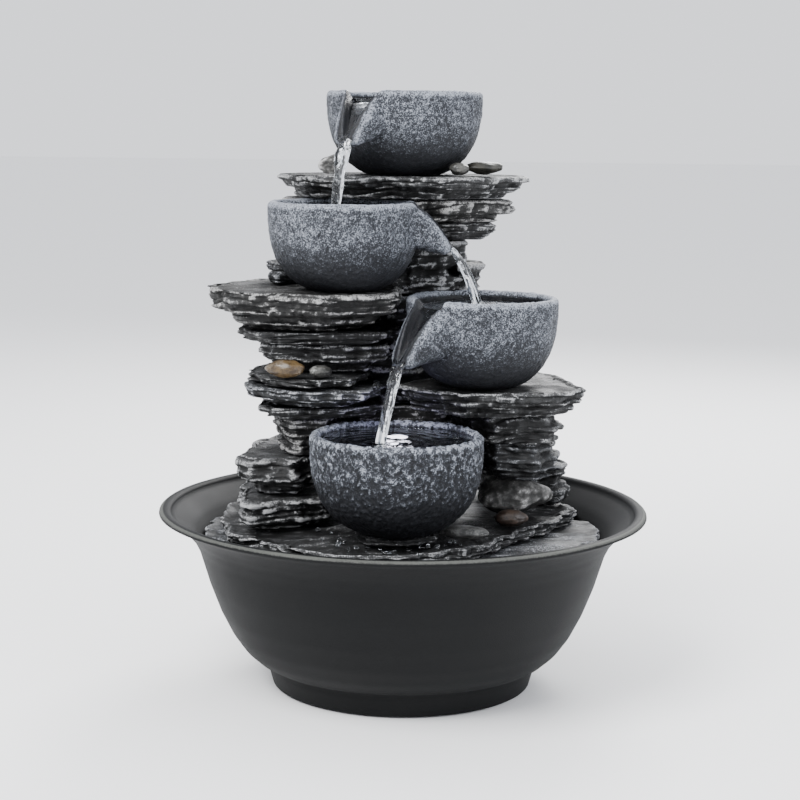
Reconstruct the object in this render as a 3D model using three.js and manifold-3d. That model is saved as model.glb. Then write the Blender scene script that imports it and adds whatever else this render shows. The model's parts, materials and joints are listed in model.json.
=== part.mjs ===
// Tabletop water fountain: a round basin with a lift-out rockwork of stacked slate slabs that carries
// four cascade bowls. A pump in the basin feeds the top bowl through a riser tube.
// Units are millimetres, +Z is up, the front of the fountain faces -Y and the origin is the centre of
// the feet on the table.
import * as THREE from "three";
import { mergeVertices } from "three/addons/utils/BufferGeometryUtils.js";
import Module from "manifold-3d";

const wasm = await Module();
wasm.setup();

// ---------------------------------------------------------------- driving dimensions

const GAP = 0.3; // between bonded or touching pieces
const OVERLAP = 0.5; // how far joined volumes run into each other
const THROUGH = 1; // how far a cutter runs past the face that it cuts

const BASIN = {
  rimRadius: 115,
  height: 85.4,
  footRadius: 61.5,
  footTopRadius: 64,
  footHeight: 11.5,
  bellyRadius: 76, // the wall swells out over the foot towards this radius and height
  bellyHeight: 13.5,
  flankRadius: 87, // and then steepens at this radius and height
  flankHeight: 32,
  neckRadius: 96.2, // where the wall turns out into the flare
  neckHeight: 66,
  wall: 4.2,
  floor: 4.5,
  soleWidth: 16, // the ring that it stands on, round a shallow recess
  recessDepth: 8.5, // of that recess, from the table
  lipDrop: 2, // the lip's outer edge below its top
  sides: 40,
};
const FOOT_PAD = { radius: 6, height: 2.4, standOut: 0.8, inset: 8.5, count: 4 };

const PLATE = { height: 66, thickness: 7.5, edgeClearance: 0.6, notches: 10, notchRadius: 7 };
const TERRACE = { thickness: 6.2, edgeMargin: 7 };
const TOP_SEAT_HEIGHT = 240.8; // the top bowl stands here
const TOP_SLABS_THICKNESS = 30.4; // the three slabs under the top bowl
const SHOULDER_THICKNESS = 10; // loose slab beside the second bowl
const LOW_STONE_THICKNESS = 4.2; // stone under the lowest bowl
const LOW_STONE_LEDGE = 2.5; // how far it shows round the bowl's foot
const BEVEL = 1.1; // broken edges of the slabs
const RECESSED = 0.95; // layers drawn in to this share or less keep sharp edges

const RISER = { x: 0, y: 22, outerRadius: 4.5, wall: 1.7, standUp: 5 }; // standUp: over the top bowl's floor
const RISER_BORE = RISER.outerRadius - RISER.wall;
const NOZZLE = { plugDepth: 6, collarHeight: 5, collarWidth: 1.2, jetWall: 1 };
const COLUMN = { halfWidth: 25, front: 15, back: 27, stones: 5 };

const BOWL_SIDES = 20;
const BOWL_WALL = 4.4;
const BOWL_FLOOR = 6;
const BOWL_RIM = 2; // height of the rounded rim
const BOWL_FULLNESS = 2.6; // exponent of the bowls' rounded profile, where 2 is an ellipse
const BOWL_FOOT_SHARE = 0.45; // flat underside, as a share of the bowl's own radius
const CHUTE = { throat: 11, mouth: 3.9, cheek: 3, lip: 2.1, notch: 7.5, root: 7 };

// Each bowl's centre in plan, its size and the fall from the seat above to its rim.
const BOWLS = [
  { name: "bowl_top", x: -1.2, y: 14, radius: 36.8, height: 38.5 },
  { name: "bowl_upper", x: -28.3, y: -18, radius: 34.9, height: 40, fall: 11.6 },
  { name: "bowl_middle", x: 35.2, y: -22, radius: 34.9, height: 40.8, fall: 2.2 },
  { name: "bowl_low", x: -3.1, y: -52, radius: 38.9, height: 43.6 },
];
// Each pouring bowl's chute: its bearing from +X, how far it reaches past the rim and how far it drops.
const CHUTES = {
  bowl_top: { turn: -124, reach: 11, drop: 24 },
  bowl_upper: { turn: -2, reach: 14, drop: 22 },
  bowl_middle: { turn: -139, reach: 15, drop: 28 },
};

const LAMP = {
  back: 9, // behind the middle of the lowest bowl
  radius: 5.8,
  rise: 32, // over the bowl's floor
  lensRadius: 4.8,
  lensRise: 2.2,
  lensSeat: 3,
  leadRadius: 1.4,
  leadSeat: 8,
  plugLength: 9,
  plugTipRadius: 2.6,
  plugEndRadius: 3.4,
};

const PUMP = {
  axisHeight: 36, // of the impeller, above the table
  halfWidth: 17,
  halfHeight: 14,
  chamberRadius: 11.5,
  chamberBore: 9.5,
  chamberLength: 12,
  motorLength: 28,
  spigotWall: 1,
  spigotTop: 62,
  shaftRadius: 1.2,
  shaftSeat: 8, // how deep the shaft stands in the motor
  chamfer: 4,
};
const GLAND = { radius: 4, bore: 2.2, length: 7, rise: 4, seat: 3 }; // rise: over the pump's axis
const STRAINER = { wall: 2, length: 32, slots: 5, slotWidth: 3, slotHeight: 15 };
const SLIDER = { thickness: 2, opening: 8, margin: 1, tabHalfWidth: 6, tabReach: 3, tabHeight: 2 };
const IMPELLER = { hubRadius: 3.6, bladeRadius: 8.6, blades: 6, bladeThickness: 1.4, length: 8 };
const SUCTION_CUP = { radius: 6, neck: 2.6 };

// ---------------------------------------------------------------- solids

function solidFrom(geometry) {
  const bare = geometry.clone();
  bare.deleteAttribute("normal");
  bare.deleteAttribute("uv");
  const merged = mergeVertices(bare, 1e-4);
  return new wasm.Manifold(
    new wasm.Mesh({
      numProp: 3,
      vertProperties: new Float32Array(merged.attributes.position.array),
      triVerts: new Uint32Array(merged.index.array),
    }),
  );
}

function geometryFrom(solid) {
  const mesh = solid.getMesh();
  const positions = new Float32Array(mesh.numVert * 3);
  for (let i = 0; i < mesh.numVert; i++) {
    positions.set(mesh.vertProperties.subarray(i * mesh.numProp, i * mesh.numProp + 3), i * 3);
  }
  const geometry = new THREE.BufferGeometry();
  geometry.setAttribute("position", new THREE.BufferAttribute(positions, 3));
  geometry.setIndex(new THREE.BufferAttribute(new Uint32Array(mesh.triVerts), 1));
  geometry.computeVertexNormals();
  return geometry;
}

const joined = (solids) => solids.reduce((whole, next) => whole.add(next));
const cutBy = (solid, cutters) => cutters.reduce((rest, cutter) => rest.subtract(cutter), solid);

// A profile of [radius, height] pairs turned about the vertical axis, listed bottom axis first.
function turned(profile, sides) {
  const points = profile.map(([r, z]) => new THREE.Vector2(r, z));
  return solidFrom(new THREE.LatheGeometry(points, sides).rotateX(Math.PI / 2));
}

// An upright round bar from height z0 to z1.
function bar(x, y, z0, z1, radius, sides = 16) {
  const geometry = new THREE.CylinderGeometry(radius, radius, z1 - z0, sides);
  return solidFrom(geometry.rotateX(Math.PI / 2).translate(x, y, (z0 + z1) / 2));
}

// A round bar along Y from y0 to y1.
function barAlongY(x, z, y0, y1, radius, sides = 24) {
  const geometry = new THREE.CylinderGeometry(radius, radius, y1 - y0, sides);
  return solidFrom(geometry.translate(x, (y0 + y1) / 2, z));
}

function block(x0, x1, y0, y1, z0, z1) {
  const geometry = new THREE.BoxGeometry(x1 - x0, y1 - y0, z1 - z0);
  return solidFrom(geometry.translate((x0 + x1) / 2, (y0 + y1) / 2, (z0 + z1) / 2));
}

// A block centred on the riser's x.
const middleBlock = (halfX, y0, y1, z0, z1) => block(RISER.x - halfX, RISER.x + halfX, y0, y1, z0, z1);

// A flat outline of [x, y] corners raised from height z0 to z1, with broken edges if bevel is given.
function prism(outline, z0, z1, bevel = 0) {
  const shape = new THREE.Shape(outline.map(([x, y]) => new THREE.Vector2(x, y)));
  const geometry = new THREE.ExtrudeGeometry(shape, {
    depth: z1 - z0 - 2 * bevel,
    bevelEnabled: bevel > 0,
    bevelThickness: bevel,
    bevelSize: bevel,
    bevelOffset: -bevel,
    bevelSegments: 1,
  });
  return solidFrom(geometry.translate(0, 0, z0 + bevel));
}

const range = (count) => [...Array(count).keys()];
const degrees = THREE.MathUtils.degToRad;
const mix = THREE.MathUtils.lerp;

// ---------------------------------------------------------------- scene graph

const fountain = new THREE.Group();
fountain.name = "tabletop_water_fountain";
const basinGroup = new THREE.Group();
const rockworkGroup = new THREE.Group();
const pumpGroup = new THREE.Group();
fountain.add(basinGroup, rockworkGroup);
rockworkGroup.add(pumpGroup);

const FINISH = {
  basin: { color: 0x3d4042, roughness: 0.72, metalness: 0 },
  rubber: { color: 0x1b1b1c, roughness: 0.9, metalness: 0 },
  slate: { color: 0x4a4d4e, roughness: 0.85, metalness: 0 },
  bowl: { color: 0x4b5260, roughness: 0.75, metalness: 0 },
  pebble: { color: 0x9a8a72, roughness: 0.7, metalness: 0 },
  boulder: { color: 0x6f7274, roughness: 0.8, metalness: 0 },
  tube: { color: 0xc9d2d4, roughness: 0.25, metalness: 0 },
  lens: { color: 0xdfe4ff, roughness: 0.15, metalness: 0 },
  plastic: { color: 0x1e2022, roughness: 0.5, metalness: 0 },
  ceramic: { color: 0xd8d8d2, roughness: 0.3, metalness: 0 },
};

function addPiece(group, name, solid, finish) {
  const mesh = new THREE.Mesh(geometryFrom(solid), new THREE.MeshStandardMaterial(FINISH[finish]));
  mesh.name = name;
  group.add(mesh);
  return mesh;
}

// ---------------------------------------------------------------- basin

const FLOOR_TOP = BASIN.footHeight + BASIN.floor;
const SOLE = FOOT_PAD.standOut; // the foot ring stands this far off the table

// Outer wall as [radius, height]: a round belly over the foot, a slight neck and a flared lip.
function basinWall() {
  const { neckRadius, neckHeight, rimRadius, height, lipDrop } = BASIN;
  const lower = new THREE.CubicBezierCurve(
    new THREE.Vector2(BASIN.footTopRadius, BASIN.footHeight),
    new THREE.Vector2(BASIN.bellyRadius, BASIN.bellyHeight),
    new THREE.Vector2(BASIN.flankRadius, BASIN.flankHeight),
    new THREE.Vector2(neckRadius, neckHeight),
  );
  const flare = new THREE.QuadraticBezierCurve(
    new THREE.Vector2(neckRadius, neckHeight),
    new THREE.Vector2(mix(neckRadius, rimRadius, 0.22), mix(neckHeight, height, 0.6)),
    new THREE.Vector2(rimRadius, height - lipDrop),
  );
  return [...lower.getPoints(6), ...flare.getPoints(4).slice(1)].map((p) => [p.x, p.y]);
}

const WALL = basinWall();

function basinInnerRadius(z) {
  const top = WALL.findIndex(([, height]) => height >= z);
  const [r0, z0] = WALL[top - 1];
  const [r1, z1] = WALL[top];
  return mix(r0, r1, (z - z0) / (z1 - z0)) - BASIN.wall;
}

function makeBasin() {
  const { footRadius, footTopRadius, rimRadius, height, wall, footHeight, recessDepth, sides } = BASIN;
  const recessRadius = footRadius - BASIN.soleWidth;
  const fillet = 3;
  const inner = WALL.filter(([, z]) => z > FLOOR_TOP + fillet).reverse();
  const profile = [
    [0, recessDepth],
    [recessRadius, recessDepth],
    [recessRadius + 1.5, SOLE],
    [footRadius, SOLE],
    [footTopRadius, footHeight - 2],
    ...WALL,
    [rimRadius - 1, height],
    [rimRadius - wall * 0.8, height - 0.6],
    ...inner.slice(1).map(([r, z]) => [r - wall, z]),
    [basinInnerRadius(FLOOR_TOP + fillet) - fillet, FLOOR_TOP],
    [0, FLOOR_TOP],
  ];
  const padAngles = range(FOOT_PAD.count).map((i) => degrees(45 + (360 / FOOT_PAD.count) * i));
  const padRing = footRadius - FOOT_PAD.inset;
  const pads = padAngles.map((angle) => [padRing * Math.cos(angle), padRing * Math.sin(angle)]);
  const pockets = pads.map(([x, y]) => bar(x, y, -THROUGH, FOOT_PAD.height + GAP, FOOT_PAD.radius + GAP));
  addPiece(basinGroup, "basin", cutBy(turned(profile, sides), pockets), "basin");
  pads.forEach(([x, y], i) => {
    addPiece(basinGroup, `foot_pad_${i + 1}`, bar(x, y, 0, FOOT_PAD.height, FOOT_PAD.radius), "rubber");
  });
}

// ---------------------------------------------------------------- bowls

const PLATE_TOP = PLATE.height + PLATE.thickness;
const TERRACE_TOP = PLATE_TOP + GAP + TERRACE.thickness;

// Seats run down the cascade from the top bowl; the lowest bowl stands on the terrace.
const [TOP, UPPER, MIDDLE, LOW] = BOWLS;
TOP.seat = TOP_SEAT_HEIGHT;
UPPER.seat = TOP.seat - UPPER.fall - UPPER.height;
MIDDLE.seat = UPPER.seat - MIDDLE.fall - MIDDLE.height;
LOW.seat = TERRACE_TOP + GAP + LOW_STONE_THICKNESS + GAP;
const LAMP_Y = LOW.y + LAMP.back; // the lamp stands behind the middle of the lowest bowl

const OUTER_STEPS = 6;
const INNER_STEPS = 4;

// The rounded half profile of a bowl from its flat underside up to its rim.
function bowlCurve(radius, height, steps, grow = 0) {
  const p = BOWL_FULLNESS;
  const reach = (1 - BOWL_FOOT_SHARE ** p) ** (1 / p);
  return range(steps + 1).map((i) => {
    const depth = Math.cos((Math.PI / 2) * (i / steps));
    return [radius * (1 - (depth * reach) ** p) ** (1 / p) + grow, height * (1 - depth)];
  });
}

function bowlBody({ radius, height }) {
  const outer = bowlCurve(radius, height - BOWL_RIM, OUTER_STEPS);
  const inner = bowlCurve(radius - BOWL_WALL, height - BOWL_RIM - BOWL_FLOOR, INNER_STEPS).reverse();
  const profile = [
    [0, 0],
    ...outer,
    [radius - 0.9, height - 0.6],
    [radius - BOWL_WALL / 2, height],
    [radius - BOWL_WALL + 0.9, height - 0.6],
    ...inner.map(([r, z]) => [r, z + BOWL_FLOOR]),
    [0, BOWL_FLOOR],
  ];
  return turned(profile, BOWL_SIDES);
}

// The space inside a bowl, up past its rim.
function bowlHollow({ radius, height }) {
  const inner = bowlCurve(radius - BOWL_WALL, height - BOWL_RIM - BOWL_FLOOR, INNER_STEPS);
  return turned(
    [
      [0, BOWL_FLOOR],
      ...inner.map(([r, z]) => [r, z + BOWL_FLOOR]),
      [radius - BOWL_WALL, height + THROUGH],
      [0, height + THROUGH],
    ],
    BOWL_SIDES,
  );
}

// A side outline of [distance from the bowl's axis, height] corners, as wide as halfWidth says there.
function tapered(outline, halfWidth) {
  const shape = new THREE.Shape(outline.map(([u, z]) => new THREE.Vector2(u, z)));
  const geometry = new THREE.ExtrudeGeometry(shape, { depth: 2, bevelEnabled: false });
  geometry.translate(0, 0, -1).rotateX(Math.PI / 2);
  const position = geometry.attributes.position;
  for (let i = 0; i < position.count; i++) {
    position.setY(i, position.getY(i) * halfWidth(position.getX(i)));
  }
  return solidFrom(geometry);
}

function withChute(body, bowl) {
  const { radius, height } = bowl;
  const { reach, drop } = CHUTES[bowl.name];
  const root = radius - CHUTE.root;
  const tip = radius + reach;
  const share = (u) => (u - root) / (tip - root);
  const channel = (u) => mix(CHUTE.throat, CHUTE.mouth, share(u));
  const cheeks = (u) => channel(u) + mix(CHUTE.cheek, CHUTE.lip, share(u));
  const block = tapered(
    [
      [root, height - 0.4],
      [radius - 1, height - 0.4],
      [tip, height - drop + 3],
      [tip - 0.5, height - drop],
      [tip - 3, height - drop - 1.5],
      [radius - 3, height - drop + 1.5],
      [root, height - drop + 6],
    ],
    cheeks,
  );
  const cutter = tapered(
    [
      [root - 4, height + THROUGH],
      [root - 4, height - CHUTE.notch],
      [radius - 2, height - CHUTE.notch - 1],
      [tip + 2, height - drop - 1],
      [tip + 2, height + THROUGH],
    ],
    channel,
  );
  return body.add(block.subtract(bowlHollow(bowl))).subtract(cutter);
}

// An upright hole through a bowl's floor.
function floorHole(bowl, x, y, radius, sides) {
  return bar(x, y, bowl.seat - THROUGH, bowl.seat + BOWL_FLOOR + THROUGH, radius + GAP, sides);
}

function makeBowl(bowl) {
  const chute = CHUTES[bowl.name];
  const whole = chute ? withChute(bowlBody(bowl), bowl) : bowlBody(bowl);
  const placed = whole.rotate([0, 0, chute?.turn ?? 0]).translate([bowl.x, bowl.y, bowl.seat]);
  const holes = {
    bowl_top: [floorHole(TOP, RISER.x, RISER.y, RISER.outerRadius, 16)],
    bowl_low: [floorHole(LOW, LOW.x, LAMP_Y, LAMP.leadRadius, 12)],
  };
  addPiece(rockworkGroup, bowl.name, cutBy(placed, holes[bowl.name] ?? []), "bowl");
}

// What each bowl needs kept clear in the stones about it.
const BOWL_CLEARANCE = BOWLS.map((bowl) => {
  const [foot, ...side] = bowlCurve(bowl.radius, bowl.height - BOWL_RIM, OUTER_STEPS, 3 * GAP);
  const under = -GAP / 2;
  const over = bowl.height + GAP;
  const profile = [[0, under], [foot[0], under], ...side, [side.at(-1)[0], over], [0, over]];
  return turned(profile, BOWL_SIDES).translate([bowl.x, bowl.y, bowl.seat]);
});

// ---------------------------------------------------------------- rockwork

const RISER_HOLE = bar(RISER.x, RISER.y, 0, TOP.seat + THROUGH, RISER.outerRadius + GAP);
const LEAD_HOLE = bar(LOW.x, LAMP_Y, PLATE.height - THROUGH, LOW.seat + THROUGH, LAMP.leadRadius + GAP, 12);

// The corners of an outline drawn in or out about its middle, and turned a little.
function resized(outline, share, turn = 0) {
  const corners = outline.map(([x, y]) => new THREE.Vector2(x, y));
  const middle = corners.reduce((sum, corner) => sum.add(corner), new THREE.Vector2());
  middle.divideScalar(corners.length);
  return corners.map((corner) => {
    const moved = corner.sub(middle).rotateAround(new THREE.Vector2(), degrees(turn));
    return moved.multiplyScalar(share).add(middle).toArray();
  });
}

// One slab between two heights, made of split layers: [share of the thickness, share of the outline, turn].
function slab(outline, z0, z1, layers) {
  const whole = layers.reduce((sum, [weight]) => sum + weight, 0);
  let z = z0;
  const solids = layers.map(([weight, share, turn], i) => {
    const top = z + ((z1 - z0) * weight) / whole;
    const bevel = share > RECESSED ? Math.min(BEVEL, (top - z) / 4) : 0;
    const layer = prism(resized(outline, share, turn), i ? z - OVERLAP : z, top, bevel);
    z = top;
    return layer;
  });
  return joined(solids);
}

// Fills the height from z0 to z1 with stones, each as thick as its weight asks.
function stack(stones, z0, z1) {
  const whole = stones.reduce((sum, stone) => sum + stone.weight, 0);
  const free = z1 - z0 - GAP * stones.length;
  let z = z0;
  return stones.map((stone) => {
    const bottom = z + GAP;
    z = bottom + (free * stone.weight) / whole;
    return { ...stone, bottom, top: z };
  });
}

const COLUMN_OUTLINE = [
  [-COLUMN.halfWidth + 6, -COLUMN.front],
  [COLUMN.halfWidth - 8, -COLUMN.front],
  [COLUMN.halfWidth, -COLUMN.front + 9],
  [COLUMN.halfWidth - 2, COLUMN.back - 8],
  [COLUMN.halfWidth - 11, COLUMN.back],
  [-COLUMN.halfWidth + 9, COLUMN.back],
  [-COLUMN.halfWidth, COLUMN.back - 10],
  [-COLUMN.halfWidth, -COLUMN.front + 7],
].map(([x, y]) => [RISER.x + x, RISER.y + y]);
const COLUMN_SPACE = prism(resized(COLUMN_OUTLINE, 1.06), TERRACE_TOP, TOP.seat - TOP_SLABS_THICKNESS);

function makeStone(name, outline, bottom, top, layers, cutters = []) {
  const stone = cutBy(slab(outline, bottom, top, layers), [RISER_HOLE, ...BOWL_CLEARANCE, ...cutters]);
  addPiece(rockworkGroup, name, stone, "slate");
}

function makePlate() {
  const { height, edgeClearance, notches, notchRadius } = PLATE;
  const bends = WALL.map(([, z]) => z).filter((z) => z > height && z < PLATE_TOP);
  const edge = [height, ...bends, PLATE_TOP].map((z) => [basinInnerRadius(z) - edgeClearance, z]);
  const high = basinInnerRadius(PLATE_TOP) - edgeClearance;
  const disc = turned([[0, height], ...edge, [0, PLATE_TOP]], BASIN.sides);
  const drains = range(notches).map((i) => {
    const angle = degrees((360 / notches) * (i + 0.5));
    const [x, y] = [high * Math.cos(angle), high * Math.sin(angle)];
    return bar(x, y, height - THROUGH, PLATE_TOP + THROUGH, notchRadius, 12);
  });
  addPiece(rockworkGroup, "base_plate", cutBy(disc, [...drains, RISER_HOLE, LEAD_HOLE]), "slate");
}

// The terrace's corners, as bearings in degrees from +X and shares of the radius that the plate leaves.
const TERRACE_CORNERS = [
  [-78, 0.86], [-58, 0.76], [-32, 0.68], [-6, 0.8], [13, 0.95], [28, 1], [50, 0.94], [72, 1], [96, 0.96],
  [118, 1], [141, 0.94], [163, 1], [184, 0.97], [206, 1], [228, 0.96], [250, 0.99], [268, 0.93],
];

function makeTerrace() {
  const reach = basinInnerRadius(PLATE_TOP) - TERRACE.edgeMargin;
  const outline = TERRACE_CORNERS.map(([bearing, share]) => [
    reach * share * Math.cos(degrees(bearing)),
    reach * share * Math.sin(degrees(bearing)),
  ]);
  makeStone("terrace_slab", outline, PLATE_TOP + GAP, TERRACE_TOP, [[1, 1, 0], [1, 0.985, 1]], [LEAD_HOLE]);
}

function makeLowStone() {
  const radius = LOW.radius * BOWL_FOOT_SHARE + LOW_STONE_LEDGE;
  const outline = [10, 58, 100, 148, 190, 232, 280, 325].map((bearing, i) => {
    const r = radius * (i % 2 ? 1 : 0.9);
    return [LOW.x + r * Math.cos(degrees(bearing)), LOW.y + r * Math.sin(degrees(bearing))];
  });
  makeStone("low_bowl_stone", outline, TERRACE_TOP + GAP, LOW.seat - GAP, [[1, 1, 0]], [LEAD_HOLE]);
}

function makeColumn() {
  const stones = range(COLUMN.stones).map((index) => ({ weight: 1, index }));
  stack(stones, TERRACE_TOP, TOP.seat - TOP_SLABS_THICKNESS - GAP).forEach(({ index, bottom, top }) => {
    const lean = index % 2 ? 2 : -2;
    const layers = [[4, 0.96, lean], [2, 0.88, -lean], [5, 1, -lean]];
    makeStone(`column_stone_${index + 1}`, COLUMN_OUTLINE, bottom, top, layers);
  });
}

// Left tower, from the terrace up to the seat of the second bowl. The seat's slab hangs over the rest.
const LEFT_STONES = [
  {
    weight: 14.2,
    outline: [
      [-78, 0], [-75, -38], [-70, -46], [-46, -38], [-33, -28],
      [-28, 4], [-34, 40], [-60, 48], [-74, 28],
    ],
    layers: [[3.7, 0.86, 0], [5, 1, 0], [5.5, 0.95, 2]],
  },
  {
    weight: 17.4,
    outline: [[-77, -24], [-69, -32], [-48, -36], [-40, -18], [-36, 20], [-40, 38], [-62, 43], [-73, 18]],
    layers: [[7, 0.82, 2], [4.6, 1, 0], [5.6, 0.94, -3]],
  },
  {
    weight: 17,
    outline: [[-58, -16], [-50, -27], [-36, -22], [-30, -4], [-28, 34], [-50, 40], [-62, 14]],
    layers: [[5, 1, 0], [4, 0.88, 3], [8, 0.94, -3]],
  },
  {
    weight: 6,
    outline: [[-66, -20], [-56, -31], [-32, -30], [-10, -16], [-10, 14], [-26, 38], [-54, 42], [-68, 12]],
    layers: [[3, 0.95, 0], [3, 1, 1]],
  },
  {
    weight: 9.2,
    outline: [[-73, -19], [-66, -32], [-42, -44], [-18, -37], [-12, -14], [-20, 36], [-50, 45], [-70, 18]],
    layers: [[4, 0.82, 0], [5.2, 1, 0]],
  },
  {
    weight: 4.7,
    outline: [[-72, -14], [-62, -32], [-44, -41], [-24, -35], [-16, -10], [-20, 34], [-52, 40], [-68, 14]],
    layers: [[1, 1, 0]],
  },
  {
    weight: 13.7,
    outline: [[-67, -18], [-58, -25], [-32, -27], [-8, -20], [-6, 12], [-24, 38], [-54, 43], [-70, 12]],
    layers: [[5.7, 0.84, 0], [4, 1, 0], [4, 0.95, 2]],
  },
  {
    weight: 6,
    outline: [[-76, -10], [-66, -28], [-36, -32], [-8, -25], [-4, 8], [-24, 40], [-56, 45], [-74, 16]],
    layers: [[3, 0.96, -1], [3, 1, 0]],
  },
  {
    weight: 18.2,
    outline: [
      [-92, -10], [-77, -35], [-38, -49], [-4, -32], [-2, 6],
      [-20, 42], [-52, 51], [-73, 39], [-86, 14],
    ],
    layers: [[3.7, 0.76, 2], [5, 0.87, 2], [9.5, 1, 0]],
  },
];

// Right tower: a boulder and a slab behind it carry three slabs up to the seat of the third bowl.
const BOULDER = { x: 53, y: -2, halfX: 18.5, halfY: 17, turn: 12, weight: 21.4 };
const RIGHT_BACK = [[84, 32], [79, 19], [58, 20], [38, 30], [34, 50], [52, 60], [72, 50]];
const RIGHT_STONES = [
  {
    weight: 18.2,
    outline: [[71, -18], [62, -30], [43, -30], [37, -10], [27, 16], [25, 34], [56, 40], [72, 12]],
    layers: [[5, 0.94, 2], [6, 1, 0], [7, 0.93, -3]],
  },
  {
    weight: 13,
    outline: [[70, -20], [66, -30], [40, -34], [33, -18], [26, 4], [25, 34], [54, 42], [70, 14]],
    layers: [[5, 0.95, 0], [4, 1, 2], [4, 0.96, -2]],
  },
  {
    weight: 12.4,
    outline: [
      [82, -25], [72, -38], [42, -48], [26, -47], [-2, -20],
      [8, -4], [20, 8], [28, 40], [58, 46], [74, 12],
    ],
    layers: [[6, 0.93, -2], [6.4, 1, 0]],
  },
];

// The three slabs under the top bowl, lowest first.
const TOP_STONES = [
  {
    weight: 8.2,
    outline: [[-22, 12], [0, 2], [26, 2], [42, 12], [38, 38], [18, 54], [-18, 54], [-30, 32]],
    layers: [[4, 0.93, 0], [4, 1, 0]],
  },
  {
    weight: 10.7,
    outline: [
      [-57, 25], [-42, 6], [-14, 0], [20, -6], [37, 2],
      [50, 10], [44, 38], [20, 55], [-22, 56], [-48, 44],
    ],
    layers: [[4, 0.92, 2], [6.7, 1, 0]],
  },
  {
    weight: 10.7,
    outline: [
      [-59, 12], [-49, -4], [-22, -13], [20, -15], [44, 0],
      [55, 9], [50, 36], [24, 54], [-24, 56], [-52, 38],
    ],
    layers: [[5, 0.94, -2], [5.7, 1, 0]],
  },
];

function ellipsoid(x, y, bottom, halfX, halfY, halfZ, turn = 0, sides = 10) {
  const geometry = new THREE.SphereGeometry(1, sides, Math.round(sides * 0.6));
  geometry.rotateX(Math.PI / 2).scale(halfX, halfY, halfZ).rotateZ(degrees(turn));
  return solidFrom(geometry.translate(x, y, bottom + halfZ));
}

const PEBBLE_LEDGE_STONE = 5; // the left tower's stone whose top carries two pebbles

function makeTowers() {
  const left = stack(LEFT_STONES, TERRACE_TOP, UPPER.seat - GAP);
  left.forEach(({ outline, bottom, top, layers }, i) => {
    makeStone(`left_slab_${i + 1}`, outline, bottom, top, layers, [COLUMN_SPACE]);
  });
  const [boulder, ...right] = stack([BOULDER, ...RIGHT_STONES], TERRACE_TOP, MIDDLE.seat - GAP);
  const halfHeight = (boulder.top - boulder.bottom) / 2;
  const { x, y, halfX, halfY, turn } = BOULDER;
  const round = ellipsoid(x, y, boulder.bottom, halfX, halfY, halfHeight, turn, 14);
  addPiece(rockworkGroup, "boulder", cutBy(round, BOWL_CLEARANCE), "boulder");
  const rightBackLayers = [[5, 1, 0], [3, 0.86, 0], [3, 0.88, -3]];
  makeStone("right_back_slab", RIGHT_BACK, boulder.bottom, boulder.top, rightBackLayers);
  right.forEach(({ outline, bottom, top, layers }, i) => {
    makeStone(`right_slab_${i + 1}`, outline, bottom, top, layers, [COLUMN_SPACE]);
  });
  stack(TOP_STONES, TOP.seat - TOP_SLABS_THICKNESS - GAP, TOP.seat - GAP).forEach((stone, i) => {
    makeStone(`top_slab_${i + 1}`, stone.outline, stone.bottom, stone.top, stone.layers);
  });
  const shoulder = [[-66, 8], [-60, -2], [-50, 6], [-40, 18], [-36, 34], [-54, 38], [-64, 24]];
  const shoulderTop = UPPER.seat + SHOULDER_THICKNESS;
  makeStone("shoulder_slab", shoulder, UPPER.seat, shoulderTop, [[1, 1, 0], [1, 0.9, 4]], [COLUMN_SPACE]);
  const back = [[20, 14], [29, 13], [33.5, 21], [33, 34], [28, 40], [20, 38]];
  const backLayers = [[10, 0.96, 0], [7, 0.86, 4], [12, 0.98, 0], [9, 0.86, -3], [12, 1, 0]];
  makeStone("back_slab", back, MIDDLE.seat, shoulderTop, backLayers, [COLUMN_SPACE]);
  return { pebbleLedge: left[PEBBLE_LEDGE_STONE].top };
}

// Pebbles bonded on the ledges: place in plan, half sizes, turn and the height that they lie on.
function makePebbles(ledge) {
  const terrace = TERRACE_TOP + GAP;
  const summit = TOP.seat;
  const pebbles = [
    ["pebble_ledge_tan", -53.5, -35.5, 9.6, 5.2, 4.2, -14, ledge],
    ["pebble_ledge_grey", -38, -35, 5.2, 4.6, 3.2, 10, ledge],
    ["pebble_terrace_brown", 49.5, -25, 8.6, 5.6, 4.1, 8, terrace],
    ["pebble_terrace_flat", 27, -51, 11.5, 6.2, 3.1, -8, terrace],
    ["pebble_summit_rock", -35, -2, 6.8, 4.8, 4.8, 20, summit],
    ["pebble_summit_speckled", 24, -5, 4.6, 4.2, 3, 0, summit],
    ["pebble_summit_olive", 36.2, 7, 8.8, 5.4, 3.4, 14, summit],
  ];
  pebbles.forEach(([name, x, y, halfX, halfY, halfZ, turn, lies]) => {
    const stone = ellipsoid(x, y, lies + GAP, halfX, halfY, halfZ, turn);
    addPiece(rockworkGroup, name, cutBy(stone, BOWL_CLEARANCE), "pebble");
  });
}

// ---------------------------------------------------------------- riser and lamp

const STRAINER_TOP = PUMP.axisHeight + PUMP.halfHeight + GAP + STRAINER.wall;

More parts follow.
